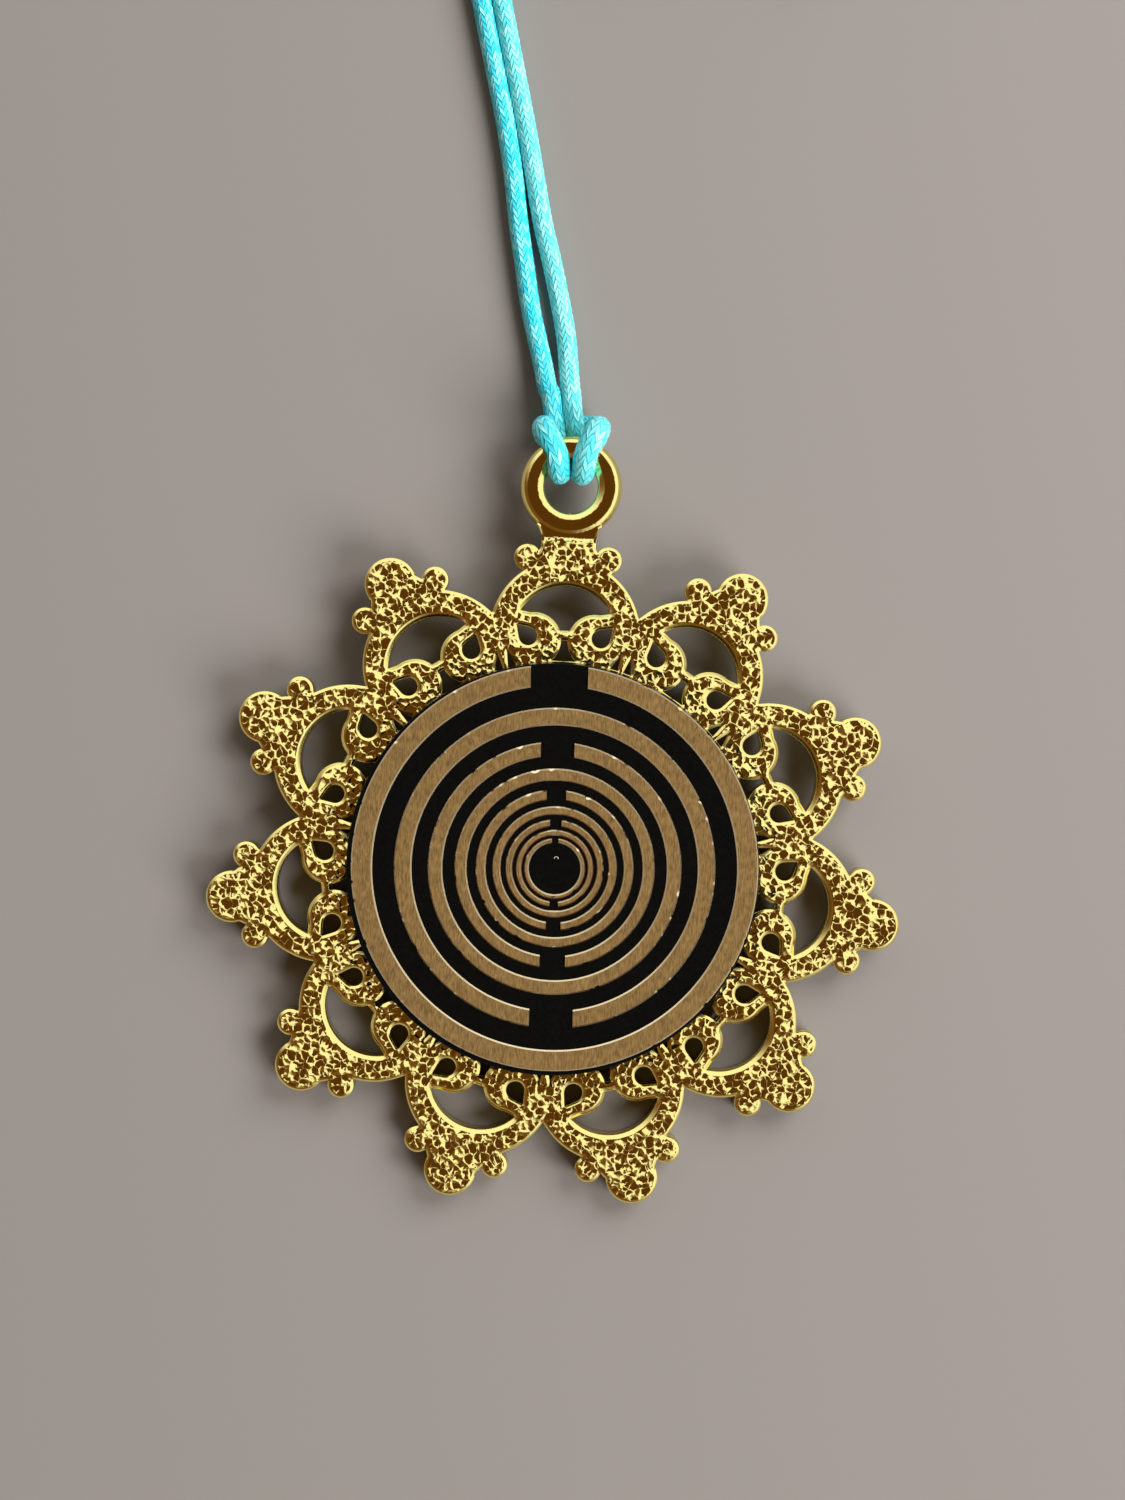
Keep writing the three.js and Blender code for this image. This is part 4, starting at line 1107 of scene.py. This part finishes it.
# The places on the cord's way are measured from the middle of the casting's plate.
PENDANT_TOP = Matrix.Rotation(lean, 4, "X") @ BAIL_TOP
ROW_SHIFT = np.array([0, (pivot.y - PENDANT_TOP.y) / MM, 0])
knot_top = np.array([COIL_X + COIL_RADIUS, COIL_Y - COIL_TAIL - CORD_END_GAP, KNOT_RADIUS])

wrap_radius = KNOT_RADIUS - CORD_DIAMETER / 2
turns = np.linspace(0, KNOT_TURNS, math.ceil(KNOT_TURNS * 2 * math.pi * wrap_radius / CORD_STEP))
wraps = knot_top + np.column_stack([
    wrap_radius * np.sin(2 * math.pi * turns),
    -CORD_DIAMETER / 2 - (KNOT_LENGTH - CORD_DIAMETER) * turns / KNOT_TURNS,
    wrap_radius * np.cos(2 * math.pi * turns),
])
tails = []
for side in (-1, 1):
    root = knot_top + (side * KNOT_STRAND_SIDE, -KNOT_LENGTH, 0)
    reach = np.array([side * KNOT_TAIL_SPREAD, -KNOT_TAIL, -KNOT_RADIUS / 2])
    tails.append(smooth_line([root + (0, CORD_DIAMETER, 0), root, root + reach / 2, root + reach], CORD_STEP))
knot_lines = [line + ROW_SHIFT for line in (wraps, *tails)]
end_knot = braided("barrel_knot", [(line, untwisted(line)) for line in knot_lines], satin_cord)
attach(end_knot, "cord")
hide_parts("end_knot")


# Coil band: a thin pale rubber band that holds the coiled part of the cord together.
# It is stretched round both layers of the coil at one place, and slips off when the cord is worn.
TIE_THICKNESS = 0.35
TIE_CLEARANCE = 0.06
BAND_PALE = (0.69, 0.63, 0.54, 1)
pale_band, tree, shader = new_material("pale band", Roughness=0.55, Base_Color=BAND_PALE)
band = coated("coil_tie", pale_band)


# Left strand: round braided satin cord from the hitch to the end knot, most of it coiled.
# It is the outer one of the two that are wound side by side.
COIL_PITCH = 2.05
COIL_TURNS = 4.5
COIL_CLIMB_TURNS = 0.5
COIL_REVERSAL_ROUNDING = 0.05
COIL_STEP = 0.2
TAIL_DROP_SHARES = (0.3, 0.84)
RUN_Y = (34.78, 36.7, 38.7, 41, 44.2, 47.2, 50.9, 54.6, 59.4, 64.2, 69.2, 74.2, 78.3, 81.7)
RUN_Z = (1.72, 1.12, 0.85, 0.76, 0.76, 0.76, 0.76, 0.76, 0.76, 0.76, 0.78, 0.95, 1.12, 1.16)
LEFT_X = (-2.02, -2.5, -3.04, -3.62, -4.22, -4.78, -5.34, -6.07, -7.25, -8.42, -9.7, -11, -12.1, -12.52)


def coil_line(side):
    """A strand of the coil, in and out again in two layers, then straight on and down to the knot."""
    floor_height = TIE_THICKNESS + TIE_CLEARANCE + CORD_DIAMETER / 2
    turns = np.linspace(0, COIL_TURNS, math.ceil(COIL_TURNS * 2 * math.pi * COIL_RADIUS / COIL_STEP))
    middle = COIL_TURNS / 2
    away = np.hypot(turns - middle, COIL_REVERSAL_ROUNDING)
    radius = COIL_RADIUS + 2 * COIL_PITCH * (away - away[0]) + side * COIL_PITCH / 2
    half_climb = COIL_CLIMB_TURNS / 2
    wound = np.column_stack([
        COIL_X + radius * np.cos(math.pi - 2 * math.pi * turns),
        COIL_Y + radius * np.sin(math.pi - 2 * math.pi * turns),
        floor_height + COIL_PITCH * eased(turns, middle - half_climb, middle + half_climb),
    ])
    share = np.linspace(0, 1, math.ceil(COIL_TAIL / COIL_STEP) + 1)[1:]
    drop = eased(share, *TAIL_DROP_SHARES)
    tail = np.column_stack([
        COIL_X + COIL_RADIUS + side * (COIL_PITCH / 2 + (KNOT_STRAND_SIDE - COIL_PITCH / 2) * drop),
        COIL_Y - COIL_TAIL * share,
        wound[-1, 2] + (KNOT_RADIUS - wound[-1, 2]) * drop,
    ])
    into_knot = tail[-1] - (0, CORD_END_GAP + CORD_DIAMETER / 2, 0)
    return np.vstack([wound, tail, smooth_line([tail[-1], into_knot], COIL_STEP)[1:]])


def strand(name, hitch_end, across, run_x, side):
    """A strand from the hitch's last two points to the knot, attached to the cord's body."""
    coil = coil_line(side)
    into_coil = coil[0] - (0, CORD_DIAMETER / 2, 0)
    route = [hitch_end[1] - ROW_SHIFT, *zip(run_x, RUN_Y, RUN_Z), into_coil, coil[0]]
    run = smooth_line(route, CORD_STEP, hitch_end[0] - ROW_SHIFT)
    line = np.vstack([run, coil[1:]]) + ROW_SHIFT
    sides = untwisted(line, across)
    length = cord_length(line)
    drawn = np.vstack([hitch_end[:1], line])
    sides = np.vstack([sides[:1], sides])
    if side > 0:
        cord = braided(name, [(drawn[::-1], sides[::-1])], satin_cord, before=-length)
    else:
        cord = braided(name, [(drawn, sides)], satin_cord, before=cord_length(hitch_line[:-1]))
    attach(cord, "cord")
    return cord


left = strand("left_strand", hitch_line[1::-1], hitch_sides[0], LEFT_X, 1)
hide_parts("cord_left_run", "cord_coil_left")


# Right strand: the other half of the same braided satin cord, from the hitch to the end knot.
# It is wound inside the left one, so it is the shorter of the two.
RIGHT_X = (-0.36, -0.6, -0.85, -1.33, -2.13, -2.97, -3.78, -4.6, -5.76, -6.9, -8.08, -9.15, -10.1, -10.48)
right = strand("right_strand", hitch_line[-2:], hitch_sides[-1], RIGHT_X, -1)
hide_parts("cord_right_run", "cord_coil_right")


# Floor and light: a plain pale board under the object, a soft key light from the lower right of the view
# and a weaker one from the upper right. The studio has one dark wall, at the lower left, a dark ceiling,
# and a backdrop near the horizon.
FLOOR_SIZE = 900
FLOOR_COLOUR = (0.228, 0.21, 0.195, 1)
BACKDROP = (0.42, 0.39, 0.36, 1)
DARK_WALL = (0.16, 0.08, 0.025, 1)
WINDOW_WALL = (1.1, 1.12, 1.1, 1)
CEILING = (0.09, 0.036, 0.006, 1)
WALL_TURN = (-0.8, 0.15)
BACKDROP_END = (0.1, 0.3)
CEILING_START = (0.73, 0.79)
pale_floor, tree, shader = new_material("pale floor", Roughness=0.8, Base_Color=FLOOR_COLOUR)
half = FLOOR_SIZE / 2 * MM
corners = [(-half, -half, 0), (half, -half, 0), (half, half, 0), (-half, half, 0)]
board = bpy.data.meshes.new("floor")
board.from_pydata(corners, [], [(0, 1, 2, 3)])
board.materials.append(pale_floor)
floor = new_object("floor", board)


def lamp(name, place, size, power):
    """A round soft lamp that points at the object and isn't seen in its gold."""
    light = bpy.data.lights.new(name, "AREA")
    light.shape = "DISK"
    light.size = size * MM
    light.energy = power
    made = new_object(name, light)
    made.location = Vector(place) * MM
    made.rotation_euler = Vector(place).to_track_quat("Z", "Y").to_euler()
    made.visible_glossy = False


lamp("key", place=(500, -330, 420), size=500, power=6.5)
lamp("fill", place=(240, 230, 260), size=300, power=1.7)
world = bpy.data.worlds.new("studio")
bpy.context.scene.world = world
world.use_nodes = True
tree = world.node_tree
up = node(tree, "ShaderNodeSeparateXYZ", {0: node(tree, "ShaderNodeTexCoord").outputs["Generated"]})
to_window = maths("ADD", up.outputs["X"], up.outputs["Y"])
studio = BACKDROP
walls = mixed(ramp(to_window, *WALL_TURN, "SMOOTHSTEP"), DARK_WALL, WINDOW_WALL)
for (start, end), higher in ((BACKDROP_END, walls), (CEILING_START, CEILING)):
    studio = mixed(ramp(up.outputs["Z"], start, end, "SMOOTHSTEP"), studio, higher)
feed(tree.nodes["Background"], {"Color": studio})


# Camera: straight above, with the height and lens that fit the view.
# It is turned as the pendant lies in the view.
FOCAL_LENGTH = 54.1
SENSOR_HEIGHT = 36
VIEW_MIDDLE = (0.218, 5.057)
VIEW_HEIGHT = 167.5
VIEW_TURN = math.radians(2.56)
camera_data = bpy.data.cameras.new("camera")
camera_data.sensor_fit = "VERTICAL"
camera_data.sensor_height = SENSOR_HEIGHT
camera_data.lens = FOCAL_LENGTH
camera_data.clip_start = MM
camera = new_object("camera", camera_data)
camera.location = Vector((*VIEW_MIDDLE, VIEW_HEIGHT)) * MM
camera.rotation_euler = (0, 0, VIEW_TURN)
bpy.context.scene.camera = camera
bpy.context.scene.view_settings.view_transform = "Standard"
